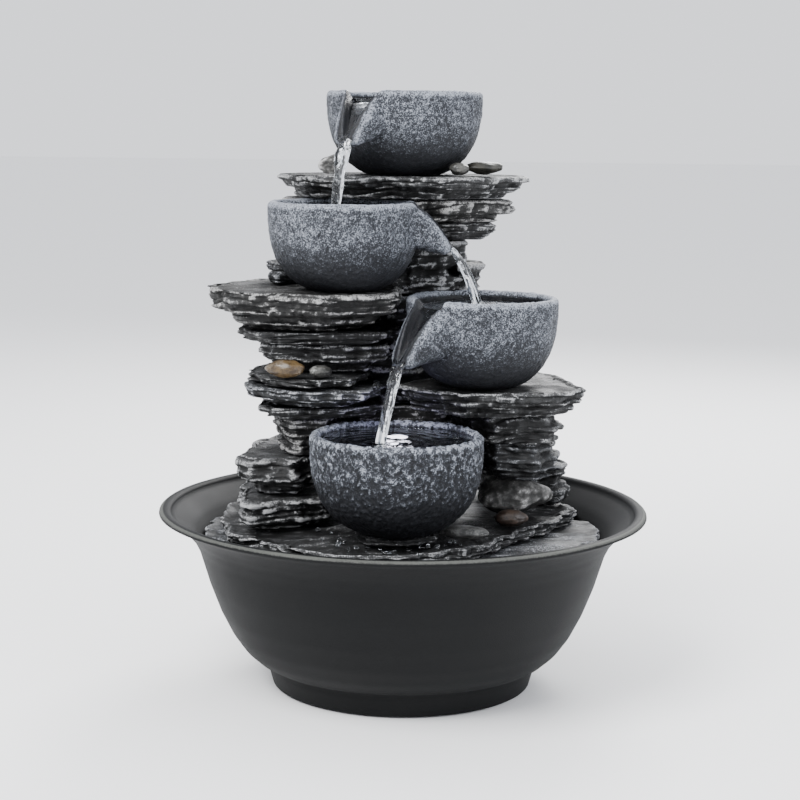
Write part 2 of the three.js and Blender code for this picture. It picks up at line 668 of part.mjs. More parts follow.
function makeRiser() {
  const { x, y, outerRadius } = RISER;
  const bottom = STRAINER_TOP + GAP;
  const top = TOP.seat + BOWL_FLOOR + RISER.standUp;
  const tube = bar(x, y, bottom, top, outerRadius);
  const hollow = bar(x, y, bottom - THROUGH, top + THROUGH, RISER_BORE);
  addPiece(rockworkGroup, "riser_tube", tube.subtract(hollow), "tube");

  const plugRadius = RISER_BORE - GAP;
  const plugBottom = top - NOZZLE.plugDepth;
  const collarTop = top + NOZZLE.collarHeight;
  const plug = bar(x, y, plugBottom, top + GAP + OVERLAP, plugRadius);
  const collar = bar(x, y, top + GAP, collarTop, outerRadius + NOZZLE.collarWidth);
  const jet = bar(x, y, plugBottom - THROUGH, collarTop + THROUGH, plugRadius - NOZZLE.jetWall);
  addPiece(rockworkGroup, "outlet_nozzle", plug.add(collar).subtract(jet), "plastic");
}

function makeLamp() {
  const floor = LOW.seat + BOWL_FLOOR;
  const base = floor + GAP;
  const top = floor + LAMP.rise;
  const stem = bar(LOW.x, LAMP_Y, base, top, LAMP.radius);
  const lensBottom = top - LAMP.lensSeat;
  const cup = bar(LOW.x, LAMP_Y, lensBottom, top + THROUGH, LAMP.lensRadius + GAP);
  const leadWay = bar(LOW.x, LAMP_Y, base - THROUGH, base + LAMP.leadSeat, LAMP.leadRadius + GAP, 12);
  addPiece(rockworkGroup, "lamp_housing", cutBy(stem, [cup, leadWay]), "plastic");

  const lens = [
    [0, lensBottom + GAP],
    [LAMP.lensRadius, lensBottom + GAP],
    [LAMP.lensRadius, top],
    [LAMP.lensRadius * 0.8, top + LAMP.lensRise * 0.6],
    [LAMP.lensRadius * 0.4, top + LAMP.lensRise * 0.93],
    [0, top + LAMP.lensRise],
  ];
  addPiece(rockworkGroup, "lamp_lens", turned(lens, 24).translate([LOW.x, LAMP_Y, 0]), "lens");

  const plugX = PUMP.halfWidth + GAP;
  const plugY = RISER.y + PUMP.chamberLength / 2 + PUMP.motorLength / 2;
  const { plugLength } = LAMP;
  const under = PLATE.height - 5;
  const route = new THREE.CatmullRomCurve3(
    [
      [LOW.x, LAMP_Y, base + LAMP.leadSeat - 1],
      [LOW.x, LAMP_Y, base - 20],
      [LOW.x, LAMP_Y, PLATE.height + 6],
      [LOW.x, LAMP_Y, PLATE.height - 1],
      [LOW.x + 3, LAMP_Y + 5, under],
      [LOW.x + 18, LAMP_Y + 26, under],
      [plugX + 14, plugY - 34, under],
      [plugX + 18, plugY - 12, under - 6],
      [plugX + 17, plugY - 1, PUMP.axisHeight + 6],
      [plugX + plugLength + 3, plugY, PUMP.axisHeight],
      [plugX + plugLength + GAP, plugY, PUMP.axisHeight],
    ].map(([x, y, z]) => new THREE.Vector3(x, y, z)),
    false,
    "centripetal",
  );
  const section = new THREE.Shape().absarc(0, 0, LAMP.leadRadius, 0, 2 * Math.PI);
  const lead = new THREE.ExtrudeGeometry(section, { steps: 30, curveSegments: 2, extrudePath: route });
  addPiece(rockworkGroup, "lamp_lead", solidFrom(lead), "rubber");
  const plug = new THREE.CylinderGeometry(LAMP.plugTipRadius, LAMP.plugEndRadius, plugLength, 16);
  plug.rotateZ(-Math.PI / 2);
  plug.translate(plugX + plugLength / 2, plugY, PUMP.axisHeight);
  addPiece(pumpGroup, "lamp_plug", solidFrom(plug), "rubber");
}

// ---------------------------------------------------------------- pump

const CHAMBER_FRONT = RISER.y - PUMP.chamberLength / 2;
const MOTOR_FRONT = RISER.y + PUMP.chamberLength / 2;
const MOTOR_BACK = MOTOR_FRONT + PUMP.motorLength;

// A box with cut upright edges, between two y planes.
function casing(halfWidth, halfHeight, y0, y1, chamfer) {
  const outline = [
    [-halfWidth, -halfHeight + chamfer], [-halfWidth + chamfer, -halfHeight],
    [halfWidth - chamfer, -halfHeight], [halfWidth, -halfHeight + chamfer],
    [halfWidth, halfHeight - chamfer], [halfWidth - chamfer, halfHeight],
    [-halfWidth + chamfer, halfHeight], [-halfWidth, halfHeight - chamfer],
  ];
  return prism(outline, y0, y1).rotate([-90, 0, 0]).translate([RISER.x, 0, PUMP.axisHeight]);
}

function makePump() {
  const { axisHeight, halfWidth, halfHeight, chamberRadius, chamberBore, spigotWall } = PUMP;
  const spigotRadius = RISER_BORE - GAP;
  const motor = casing(halfWidth, halfHeight, MOTOR_FRONT, MOTOR_BACK, PUMP.chamfer);
  const chamber = barAlongY(RISER.x, axisHeight, CHAMBER_FRONT, MOTOR_FRONT + OVERLAP, chamberRadius, 32);
  const spigot = bar(RISER.x, RISER.y, axisHeight, PUMP.spigotTop, spigotRadius);
  const bore = barAlongY(RISER.x, axisHeight, CHAMBER_FRONT - THROUGH, MOTOR_FRONT - 2, chamberBore, 32);
  const way = bar(RISER.x, RISER.y, axisHeight, PUMP.spigotTop + THROUGH, spigotRadius - spigotWall, 16);
  const seatEnd = MOTOR_FRONT + PUMP.shaftSeat;
  const shaftSeat = barAlongY(RISER.x, axisHeight, MOTOR_FRONT - 3, seatEnd, PUMP.shaftRadius + GAP, 16);
  const housing = cutBy(joined([motor, chamber, spigot]), [bore, way, shaftSeat]);
  addPiece(pumpGroup, "pump_housing", housing, "plastic");

  const shaft = barAlongY(RISER.x, axisHeight, CHAMBER_FRONT + 1, seatEnd - GAP, PUMP.shaftRadius, 16);
  addPiece(pumpGroup, "pump_shaft", shaft, "ceramic");

  const glandHeight = axisHeight + GLAND.rise;
  const glandEnd = MOTOR_BACK + GLAND.length;
  const gland = barAlongY(RISER.x, glandHeight, MOTOR_BACK + GAP, glandEnd, GLAND.radius, 20);
  const seat = MOTOR_BACK + GLAND.seat;
  const leadHole = barAlongY(RISER.x, glandHeight, seat, glandEnd + THROUGH, GLAND.bore, 16);
  addPiece(pumpGroup, "cable_gland", gland.subtract(leadHole), "rubber");

  const cupTop = axisHeight - halfHeight - GAP;
  const cup = turned(
    [
      [0, FLOOR_TOP + 1.4],
      [SUCTION_CUP.radius - 1, FLOOR_TOP + GAP],
      [SUCTION_CUP.radius, FLOOR_TOP + GAP + 0.4],
      [SUCTION_CUP.neck, FLOOR_TOP + 3.4],
      [SUCTION_CUP.neck, cupTop],
      [0, cupTop],
    ],
    20,
  );
  const [sideways, along] = [halfWidth - SUCTION_CUP.radius, PUMP.motorLength / 2 - SUCTION_CUP.radius];
  const places = [[-1, -1], [1, -1], [-1, 1], [1, 1]];
  places.forEach(([sx, sy], i) => {
    const y = (MOTOR_FRONT + MOTOR_BACK) / 2 + sy * along;
    addPiece(pumpGroup, `suction_cup_${i + 1}`, cup.translate([RISER.x + sx * sideways, y, 0]), "rubber");
  });
}

function makeImpeller() {
  const { hubRadius, bladeRadius, blades, bladeThickness, length } = IMPELLER;
  const [y0, y1] = [CHAMBER_FRONT + 1.4, CHAMBER_FRONT + 1.4 + length];
  const hub = barAlongY(0, 0, y0, y1, hubRadius, 20);
  const blade = block(-bladeThickness / 2, bladeThickness / 2, y0, y1 - 1.5, 0, bladeRadius);
  const disc = barAlongY(0, 0, y1 - 2, y1, bladeRadius, 24);
  const wheel = range(blades).map((i) => blade.rotate([0, (360 / blades) * i, 0]));
  const shaftHole = barAlongY(0, 0, y0 - THROUGH, y1 + THROUGH, PUMP.shaftRadius + GAP, 16);
  const impeller = joined([hub, disc, ...wheel]).subtract(shaftHole);
  addPiece(pumpGroup, "impeller", impeller.translate([RISER.x, 0, PUMP.axisHeight]), "plastic");
}

function makeStrainer() {
  const { halfWidth, halfHeight, axisHeight, chamfer } = PUMP;
  const { wall, length, slots, slotWidth, slotHeight } = STRAINER;
  const back = MOTOR_FRONT - GAP;
  const front = back - length;
  const shell = casing(halfWidth, halfHeight + GAP + wall, front, back, chamfer);
  const room = casing(halfWidth - wall, halfHeight + GAP, front + wall, back + THROUGH, chamfer - 1);
  const neck = RISER_BORE + 1.3;
  const roof = axisHeight + halfHeight;
  const spigotSlot = middleBlock(neck, RISER.y - neck, back + THROUGH, roof - 1, STRAINER_TOP + THROUGH);
  const pitch = (2 * (halfWidth - wall - 1)) / slots;
  const slotBottom = axisHeight - slotHeight / 2;
  const slotTop = slotBottom + slotHeight;
  const slot = middleBlock(slotWidth / 2, front - THROUGH, front + wall + THROUGH, slotBottom, slotTop);
  const intake = range(slots).map((i) => slot.translate([(i - (slots - 1) / 2) * pitch, 0, 0]));
  addPiece(pumpGroup, "strainer", cutBy(shell, [room, spigotSlot, ...intake]), "plastic");

  const plateBack = front - GAP;
  const halfPlate = ((slots - 1) * pitch + slotWidth) / 2 + SLIDER.margin;
  const plateFront = plateBack - SLIDER.thickness;
  const low = slotBottom - SLIDER.opening;
  const plate = middleBlock(halfPlate, plateFront, plateBack, low, low + slotHeight);
  const tabLow = low + SLIDER.tabHeight;
  const tabFront = plateFront - SLIDER.tabReach;
  const tab = middleBlock(SLIDER.tabHalfWidth, tabFront, plateBack - 1, tabLow, tabLow + SLIDER.tabHeight);
  addPiece(pumpGroup, "flow_slider", plate.add(tab), "plastic");
}

// ---------------------------------------------------------------- assembly

makeBasin();
makePlate();
makeTerrace();
makeLowStone();
makeColumn();
const { pebbleLedge } = makeTowers();
makePebbles(pebbleLedge);
BOWLS.forEach(makeBowl);
makeRiser();
makeLamp();
makePump();
makeImpeller();
makeStrainer();

export default fountain;
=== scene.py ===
# %% [markdown]
# # A tabletop fountain of stacked slate and pouring bowls
# The real one is cast resin on a light core, painted nearly black and brushed with pale grey on every
# raised edge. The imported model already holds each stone, bowl and pump part at its true size and place.
# This lesson only gives them skin: split slate, worked bowls, smooth pebbles, a cast basin and water.

import json
import math

import bpy
import numpy as np
from mathutils import Matrix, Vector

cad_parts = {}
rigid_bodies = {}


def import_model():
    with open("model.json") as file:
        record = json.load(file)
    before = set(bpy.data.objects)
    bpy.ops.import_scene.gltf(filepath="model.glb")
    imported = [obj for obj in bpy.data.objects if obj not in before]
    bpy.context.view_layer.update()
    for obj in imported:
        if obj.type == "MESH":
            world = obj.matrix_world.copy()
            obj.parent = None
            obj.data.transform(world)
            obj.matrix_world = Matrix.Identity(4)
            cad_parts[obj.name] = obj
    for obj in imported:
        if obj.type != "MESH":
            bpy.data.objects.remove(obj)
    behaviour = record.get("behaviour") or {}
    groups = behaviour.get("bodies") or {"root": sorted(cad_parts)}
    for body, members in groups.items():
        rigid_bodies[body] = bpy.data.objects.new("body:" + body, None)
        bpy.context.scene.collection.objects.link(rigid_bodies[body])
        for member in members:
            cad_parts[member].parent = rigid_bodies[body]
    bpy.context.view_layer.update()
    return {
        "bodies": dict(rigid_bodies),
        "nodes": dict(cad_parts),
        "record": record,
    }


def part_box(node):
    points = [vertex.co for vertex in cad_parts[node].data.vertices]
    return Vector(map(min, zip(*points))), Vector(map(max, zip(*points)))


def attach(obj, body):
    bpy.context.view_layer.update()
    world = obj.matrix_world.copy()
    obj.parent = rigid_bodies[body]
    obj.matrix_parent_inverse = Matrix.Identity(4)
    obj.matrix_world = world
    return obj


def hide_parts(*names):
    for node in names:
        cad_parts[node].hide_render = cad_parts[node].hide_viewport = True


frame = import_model()
MM = 0.001  # shapes are worked out in millimetres and handed to Blender in metres

# %% [markdown]
# ## The camera and the studio
# A product like this stands on a pale sweep with a large soft light over it. The eye is a little above
# the rim of the basin, so the insides of the lower bowls show and the top bowl is seen from below. A long
# lens from nearly a metre away keeps the bowls round. Big lights make the wet highlights broad and calm.

# %% Camera
CAMERA_PLACE = (-0.00195, -0.8509, 0.2649)
LOOK_DOWN = math.radians(8.644)
ROLL = math.radians(0.644)
LENS = 82.2


def add_object(name, data):
    """A new object in the scene, showing the mesh, lamp or camera it is given."""
    made = bpy.data.objects.new(name, data)
    bpy.context.scene.collection.objects.link(made)
    return made


def add_camera():
    data = bpy.data.cameras.new("camera")
    data.lens = LENS
    data.sensor_width = 36
    camera = add_object("camera", data)
    level = Matrix.Rotation(math.pi / 2 - LOOK_DOWN, 4, "X")
    camera.matrix_world = Matrix.Translation(CAMERA_PLACE) @ level @ Matrix.Rotation(ROLL, 4, "Z")
    bpy.context.scene.camera = camera


add_camera()
print("camera", LENS, "mm lens at", CAMERA_PLACE)

# %% Floor, sky and lights
FLOOR_HALF = 12.0  # metres, so that its far edge stays out of sight
LIGHTS = {  # place, the point it faces, size, power and colour
    "key": ((-0.5, -0.7, 1.0), (0, 0, 0.15), 0.6, 27, (1, 1, 1)),
    "fill": ((0.95, -0.55, 0.4), (0, 0, 0.12), 0.7, 7, (0.92, 0.95, 1)),
    "back": ((0.3, 0.9, 0.8), (0, 0, 0.18), 0.5, 16, (1, 1, 1)),
}


def add_area(name, place, aim, size, power, colour):
    """A square soft light at place, turned to face the point aim."""
    data = bpy.data.lights.new(name, "AREA")
    data.energy = power
    data.color = colour
    data.size = size
    sight = np.array(aim, float) - np.array(place, float)
    pitch = math.atan2(math.hypot(sight[0], sight[1]), -sight[2])
    heading = math.atan2(sight[1], sight[0]) - math.pi / 2
    facing = Matrix.Rotation(heading, 4, "Z") @ Matrix.Rotation(pitch, 4, "X")
    add_object(name, data).matrix_world = Matrix.Translation(place) @ facing


def add_studio():
    world = bpy.data.worlds.new("studio")
    world.use_nodes = True
    sky = world.node_tree.nodes["Background"]
    sky.inputs["Color"].default_value = (0.93, 0.95, 1, 1)
    sky.inputs["Strength"].default_value = 1.5
    bpy.context.scene.world = world
    for name, settings in LIGHTS.items():
        add_area(name, *settings)
    mesh = bpy.data.meshes.new("floor")
    corners = [(x * FLOOR_HALF, y * FLOOR_HALF, 0) for x, y in ((-1, -1), (1, -1), (1, 1), (-1, 1))]
    mesh.from_pydata(corners, [], [(0, 1, 2, 3)])
    floor = add_object("floor", mesh)
    paper = bpy.data.materials.new("paper")
    paper.use_nodes = True
    skin = paper.node_tree.nodes["Principled BSDF"]
    skin.inputs["Base Color"].default_value = (0.92, 0.92, 0.92, 1)
    skin.inputs["Roughness"].default_value = 0.9
    mesh.materials.append(paper)


add_studio()
print(len(LIGHTS), "soft lights over a pale floor")

# %% [markdown]
# ## Noise worked out as whole arrays
# Stone needs randomness that is smooth, repeatable and the same on each run. A lattice noise is enough:
# every whole-numbered point of space gets a fixed random value, and a place between them takes the
# smoothly weighted mean of the eight corners about it. Stretching the lattice makes layers; adding finer
# copies makes it rugged; folding it about zero makes ridges.

# %% Lattice noise


def lattice(x, y, z, seed):
    """A fixed number from 0 to 1 for each whole-numbered point: its coordinates mixed by big factors."""
    mixed = (x * 374761393 + y * 668265263 + z * 1440662683 + seed * 974634777) & 0xFFFFFFFF
    mixed = ((mixed ^ (mixed >> 13)) * 1274126177) & 0xFFFFFFFF
    return ((mixed ^ (mixed >> 16)) & 0xFFFF) / 65535


def noise(points, size, seed):
    """From -1 to 1: the smoothly weighted mean of the lattice values round each point, size mm apart."""
    place = points / np.asarray(size, float)
    cell = np.floor(place).astype(np.int64)
    share = place - cell
    share = share * share * (3 - 2 * share)
    total = np.zeros(points.shape[:-1])
    for corner in np.ndindex(2, 2, 2):
        weight = np.prod(np.where(corner, share, 1 - share), axis=-1)
        total += weight * lattice(*np.moveaxis(cell + corner, -1, 0), seed)
    return 2 * total - 1


def fractal(points, size, octaves, seed):
    """Noise plus finer copies of itself, each half the size and half the height of the one before."""
    size = np.asarray(size, float)
    layers = [noise(points, size / 2**i, seed + i) / 2**i for i in range(octaves)]
    return sum(layers) / (2 - 2 ** (1 - octaves))


def ridged(points, size, octaves, seed):
    """From 0 to 1: one minus the folded noise, so thin winding ridges stand where the noise crosses zero."""
    size = np.asarray(size, float)
    layers = [(1 - np.abs(noise(points, size / 2**i, seed + i))) / 2**i for i in range(octaves)]
    return sum(layers) / (2 - 2 ** (1 - octaves))


def eased(value, low, high):
    """0 below low, 1 above high and a smooth S between them."""
    share = np.clip((value - low) / (high - low), 0, 1)
    return share * share * (3 - 2 * share)


# %% [markdown]
# ## From a grid of points to a piece
# Every new skin here is a grid: rings stacked from a lower pole to an upper pole, with the columns going
# round anticlockwise. The rings become quads, the two poles close the ends with fans, and the whole is one
# watertight shell that faces outwards. How far each point stands out from its neighbours is kept as an
# attribute called relief, because paint brushed over a rough surface only catches what stands out.

# %% Grids, shells and relief


def around(count):
    """So many angles at even steps, once round."""
    return np.linspace(0, 2 * math.pi, count, endpoint=False)


def on_circle(angles):
    """The points of a circle of radius 1 at those angles."""
    return np.stack([np.cos(angles), np.sin(angles)], -1)


def cylinder_faces(rows, columns):
    """Quads between neighbouring rings, as four corner numbers each, closed round the last column."""
    row, column = np.meshgrid(np.arange(rows - 1), np.arange(columns), indexing="ij")
    here, there = row * columns + column, row * columns + (column + 1) % columns
    return np.stack([here, there, there + columns, here + columns], -1).reshape(-1, 4)


def shell_of(grid):
    """A closed shell's points, quads and triangles: the grid's rings, and a fan that fills each end ring."""
    rows, columns = grid.shape[:2]
    points = np.concatenate([grid.reshape(-1, 3), [grid[0].mean(0), grid[-1].mean(0)]])
    here = np.arange(columns)
    there = (here + 1) % columns
    last = (rows - 1) * columns
    lower = np.stack([np.full(columns, rows * columns), there, here], -1)
    upper = np.stack([np.full(columns, rows * columns + 1), last + here, last + there], -1)
    return points, cylinder_faces(rows, columns), np.concatenate([lower, upper])


def facing_out(points, quads, triangles):
    """The same faces, turned round if the volume that they close, the sum of a . (b x c) / 6, is negative."""
    halves = np.concatenate([quads[:, [0, 1, 2]], quads[:, [0, 2, 3]], triangles])
    a, b, c = np.moveaxis(points[halves], 1, 0)
    if (a * np.cross(b, c)).sum() < 0:
        return quads[:, ::-1], triangles[:, ::-1]
    return quads, triangles


def mesh_of(name, points, quads, triangles, marks=None):
    """A smooth-shaded mesh from points in mm. marks are its attributes, with one number at each point."""
    quads, triangles = facing_out(points, quads, triangles)
    mesh = bpy.data.meshes.new(name)
    mesh.vertices.add(len(points))
    mesh.vertices.foreach_set("co", (points * MM).astype(np.float32).ravel())
    corners = np.concatenate([quads.ravel(), triangles.ravel()]).astype(np.int32)
    starts = np.concatenate([np.arange(len(quads)) * 4, len(quads) * 4 + np.arange(len(triangles)) * 3])
    mesh.loops.add(len(corners))
    mesh.loops.foreach_set("vertex_index", corners)
    mesh.polygons.add(len(starts))
    mesh.polygons.foreach_set("loop_start", starts.astype(np.int32))
    mesh.update(calc_edges=True)
    mesh.polygons.foreach_set("use_smooth", np.ones(len(starts), bool))
    for key, values in (marks or {}).items():
        layer = mesh.attributes.new(key, "FLOAT", "POINT")
        layer.data.foreach_set("value", values.astype(np.float32).ravel())
    return mesh


def add_piece(mesh, material, body, stands_for=None):
    """The mesh as a piece that rides on a body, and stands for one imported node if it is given."""
    piece = add_object(mesh.name, mesh)
    mesh.materials.append(material)
    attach(piece, body)
    if stands_for:
        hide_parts(stands_for)


def along_rows(grid, step):
    """The grid moved step rows up or down, with the end rows repeated."""
    return grid[np.clip(np.arange(len(grid)) + step, 0, len(grid) - 1)]


def normals_of(grid):
    """Outward directions: the cross product of the way round and the way up at each point."""
    round_way = np.roll(grid, -1, 1) - np.roll(grid, 1, 1)
    up_way = along_rows(grid, 1) - along_rows(grid, -1)
    normal = np.cross(round_way, up_way)
    return normal / np.maximum(np.linalg.norm(normal, axis=-1, keepdims=True), 1e-9)


def stand_out(grid, reach):
    """How many mm each point stands proud of the mean of the four points that are reach steps away."""
    sides = np.roll(grid, reach, 1) + np.roll(grid, -reach, 1)
    ends = along_rows(grid, reach) + along_rows(grid, -reach)
    return ((grid - (sides + ends) / 4) * normals_of(grid)).sum(-1)


def with_poles(values):
    """The values of a grid's points followed by those of its two poles."""
    return np.concatenate([values.ravel(), [values[0].mean(), values[-1].mean()]])


# %% [markdown]
# ## Reading a stone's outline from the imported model
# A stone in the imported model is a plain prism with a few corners. Its shape at one height is found by
# slicing its triangles with a level plane: each crossed triangle gives one straight piece of the outline.
# A ray sent out from the middle of the stone meets that outline at a distance, and those distances, taken
# all the way round and at many heights, are everything that the finished skin needs to follow.

# %% Slicing a stone


def triangles_of(node):
    """The node's triangles in mm, as triangle by corner by coordinate."""
    mesh = frame["nodes"][node].data
    mesh.calc_loop_triangles()
    places = np.empty(len(mesh.vertices) * 3)
    mesh.vertices.foreach_get("co", places)
    corners = np.empty(len(mesh.loop_triangles) * 3, np.int32)
    mesh.loop_triangles.foreach_get("vertices", corners)
    return places.reshape(-1, 3)[corners.reshape(-1, 3)] / MM


def outline_at(triangles, height):
    """The straight pieces of the outline at one height, as their first and second ends.

    On a triangle's edge from a to b the height is met at a + (height - a.z) / (b.z - a.z) (b - a).
    """
    below = triangles[:, :, 2] < height
    crossed = below.any(1) & ~below.all(1)
    tri, low = triangles[crossed], below[crossed]
    odd = np.where(low.sum(1) == 1, low.argmax(1), (~low).argmax(1))
    tri = tri[np.arange(len(tri))[:, None], (odd[:, None] + np.arange(3)) % 3]
    apex = tri[:, :1]
    share = (height - apex[..., 2]) / (tri[:, 1:, 2] - apex[..., 2])
    ends = apex + share[..., None] * (tri[:, 1:] - apex)
    return ends[:, 0, :2], ends[:, 1, :2]


def reach_at(triangles, centre, height, angles, nearest=False):
    """The farthest wall from the centre in each direction at one height, or the nearest.

    A ray r e from the centre meets the piece p + s d where r = (p x d) / (e x d), and the meeting counts
    if s = (p x e) / (e x d) lies between 0 and 1.
    """
    first, second = outline_at(triangles, height)
    p, d = first - centre, second - first
    e = on_circle(angles)[:, None]
    slant = e[..., 0] * d[:, 1] - e[..., 1] * d[:, 0]
    slant = np.where(np.abs(slant) < 1e-9, 1e-9, slant)
    r = (p[:, 0] * d[:, 1] - p[:, 1] * d[:, 0]) / slant
    s = (p[:, 0] * e[..., 1] - p[:, 1] * e[..., 0]) / slant
    met = (s > -1e-4) & (s < 1 + 1e-4) & (r > 0)
    return np.where(met, r, np.inf).min(1) if nearest else np.where(met, r, 0).max(1)


# %% [markdown]
# ## Paint as arithmetic
# A material is a sum: so much pale brush, where the surface stands out and a fine noise agrees. Wrapping a
# node's socket in a small class lets those sums be written as plain expressions, and each operator adds the
# Math node that does it. Colours are mixed by Mix nodes, since a Math node would turn them grey.

# %% The wrapper


class Term:
    """A socket in a material: +, - and * with numbers or other terms add Math nodes."""

    def __init__(self, tree, socket=None):
        self.tree = tree
        self.socket = socket

    def node(self, kind, settings=None, sockets=None, output=0):
        """Any shader node: its kind, its settings, which are set first, and what its sockets hold."""
        made = self.tree.nodes.new("ShaderNode" + kind)
        for key, value in (settings or {}).items():
            setattr(made, key, value)
        for key, value in (sockets or {}).items():
            if isinstance(value, Term):
                self.tree.links.new(value.socket, made.inputs[key])
            else:
                made.inputs[key].default_value = value
        return Term(self.tree, made.outputs[output])

    def math(self, operation, first, second):
        return self.node("Math", {"operation": operation}, {0: first, 1: second})

    def __add__(self, other):
        return self.math("ADD", self, other)

    def __sub__(self, other):
        return self.math("SUBTRACT", self, other)

    def __mul__(self, other):
        return self.math("MULTIPLY", self, other)

    def __rsub__(self, other):
        return self.math("SUBTRACT", other, self)

    __radd__ = __add__
    __rmul__ = __mul__

    def between(self, low, high):
        """0 below low, 1 above high and a smooth S between them."""
        span = {"interpolation_type": "SMOOTHSTEP"}
        return self.node("MapRange", span, {"Value": self, "From Min": low, "From Max": high})

    def mixed(self, first, second):
        """The first colour where this term is 0 and the second where it is 1."""
        return self.node("Mix", {"data_type": "RGBA"}, {0: self, 6: first, 7: second}, output=2)


# %% Starting a paint, specks, bumps and attributes


def grey(value, blue):
    """A neutral colour, turned a little to blue or, with a minus sign, to olive."""
    return (value * (1 - blue), value, value * (1 + 2 * blue), 1)


def new_paint(name, **constants):
    """A material, a term to start its sums from and the shader whose constant sockets are already set."""
    material = bpy.data.materials.new(name)
    material.use_nodes = True
    tree = material.node_tree
    shader = tree.nodes["Principled BSDF"]
    for key, value in constants.items():
        shader.inputs[key.replace("_", " ")].default_value = value
    return material, Term(tree), shader


def feed(term, shader, socket):
    term.tree.links.new(term.socket, shader.inputs[socket])


def specks(start, per_metre, detail, roughness, squeeze=(1, 1, 1)):
    """Noise fixed to the object, from 0 to 1, with so many specks to the metre, squeezed along each axis."""
    place = start.node("TexCoord", output=3)
    place = start.node("VectorMath", {"operation": "MULTIPLY"}, {0: place, 1: squeeze})
    sockets = {"Vector": place, "Scale": per_metre, "Detail": detail, "Roughness": roughness}
    return start.node("TexNoise", None, sockets)


def roughen(start, shader, height, depth_mm, strength):
    """Feeds the shader a bump of that depth."""
    sockets = {"Height": height, "Distance": depth_mm * MM, "Strength": strength}
    feed(start.node("Bump", None, sockets), shader, "Normal")


def attribute(start, name):
    """The number that each point of the mesh keeps under that name."""
    return start.node("Attribute", {"attribute_name": name}, output=2)


# %% [markdown]
# ## Split slate
# The stones are painted in three passes: nearly black all over, a worn middle grey, and a dry brush of
# pale grey that only touches raised edges. So the paint is a function of relief and of a fine noise that
# breaks it up. Damp patches are darker and shinier. A few stones have an olive cast and others are bluish.

# %% Slate paint
SLATE_DARK = 0.0028
SLATE_MIDDLE = 0.021
SLATE_PALE = 0.30
SLATE_TINTS = {"slate_neutral": 0.02, "slate_blue": 0.07, "slate_green": -0.015}


def brushed_paint(name, dark, middle, pale, streaks=0.9):
    """Dark ground, a worn coat and a dry brush on what stands out, with damp shining patches."""
    material, start, shader = new_paint(name, IOR=1.45)
    relief = attribute(start, "relief")
    upright = attribute(start, "upright")
    steep = 1 - upright * 0.8
    grit = specks(start, 1500, 2, 0.7) - 0.5
    grain = specks(start, 560, 4, 0.75) - 0.5
    strata = (specks(start, 330, 4, 0.7, (0.3, 0.55, 2.4)) - 0.5) * steep
    patches = specks(start, 55, 2, 0.5) - 0.5
    worn = (relief * 0.8 + grain * 1.3 + strata * streaks + patches * 0.9).between(-0.42, 0.5)
    speckle = grain * 1.5 + grit * (upright * 2.0 + 1.7)
    brushed = (relief * 0.8 + speckle + strata * streaks * 1.6 + patches * 0.7).between(0.3, 1.0)
    colour = brushed.mixed(worn.mixed(dark, middle), pale)
    feed(colour, shader, "Base Color")
    damp = patches.between(-0.1, 0.1)
    feed(0.48 + damp * 0.3 + brushed * 0.15, shader, "Roughness")
    roughen(start, shader, grain + grit * 0.5 + strata * 0.8, 0.7, 0.9)
    return material


def slate_paint(name, tint):
    return brushed_paint(name, grey(SLATE_DARK, tint), grey(SLATE_MIDDLE, tint), grey(SLATE_PALE, tint * 0.4))


SLATES = [slate_paint(name, tint) for name, tint in SLATE_TINTS.items()]
print("slate paints", list(SLATE_TINTS))

# %% [markdown]
# ## The stones
# Slate splits in thin level sheets, so its edge is a pile of steps that run round the stone, chipped where
# a sheet has broken off. Its top is nearly flat, with shallow terraces. A stone could be sculpted by hand,
# but so many of them would take days and would not follow the model if it changed. Here one function takes
# a stone's outline from the slices and carves steps, chips and terraces into it.

# %% A stone's plain wall
COLUMN_STEP = 0.8  # between columns at the wall
STONE_SIDE_ROWS = 36
SLICES = 14


def wall_of(node):
    """The stone's plain wall: its middle, height span, directions and distance at each row and column."""
    triangles = triangles_of(node)
    low, high = triangles.min((0, 1)), triangles.max((0, 1))
    centre, tall = (low[:2] + high[:2]) / 2, high[2] - low[2]
    columns = int(np.clip(1.5 * (high - low)[:2].sum() / COLUMN_STEP, 180, 440))
    angles = around(columns)
    levels = low[2] + tall * (np.arange(SLICES) + 0.5) / SLICES
    reach = np.stack([reach_at(triangles, centre, z, angles) for z in levels])
    reach = np.where(reach > 0, reach, reach.max())
    reach = (reach + np.roll(reach, 1, 1) + np.roll(reach, -1, 1)) / 3
    share = np.linspace(0.0, 1.0, STONE_SIDE_ROWS)
    at = np.clip(share * SLICES - 0.5, 0, SLICES - 1)
    under = np.minimum(np.floor(at).astype(int), SLICES - 2)
    part = (at - under)[:, None]
    wall = reach[under] * (1 - part) + reach[under + 1] * part
    return centre, low[2], tall, on_circle(angles), share, wall


# %% Sheets, chips and terraces
CORNER = 2.6  # how near to a face the wall starts to round over
TOP_RINGS = np.concatenate([np.linspace(0.97, 0.5, 12), [0.38, 0.25, 0.12, 0.04]])  # shares of the way out
UNDER_RINGS = np.array([0.1, 0.5, 0.8, 0.92])


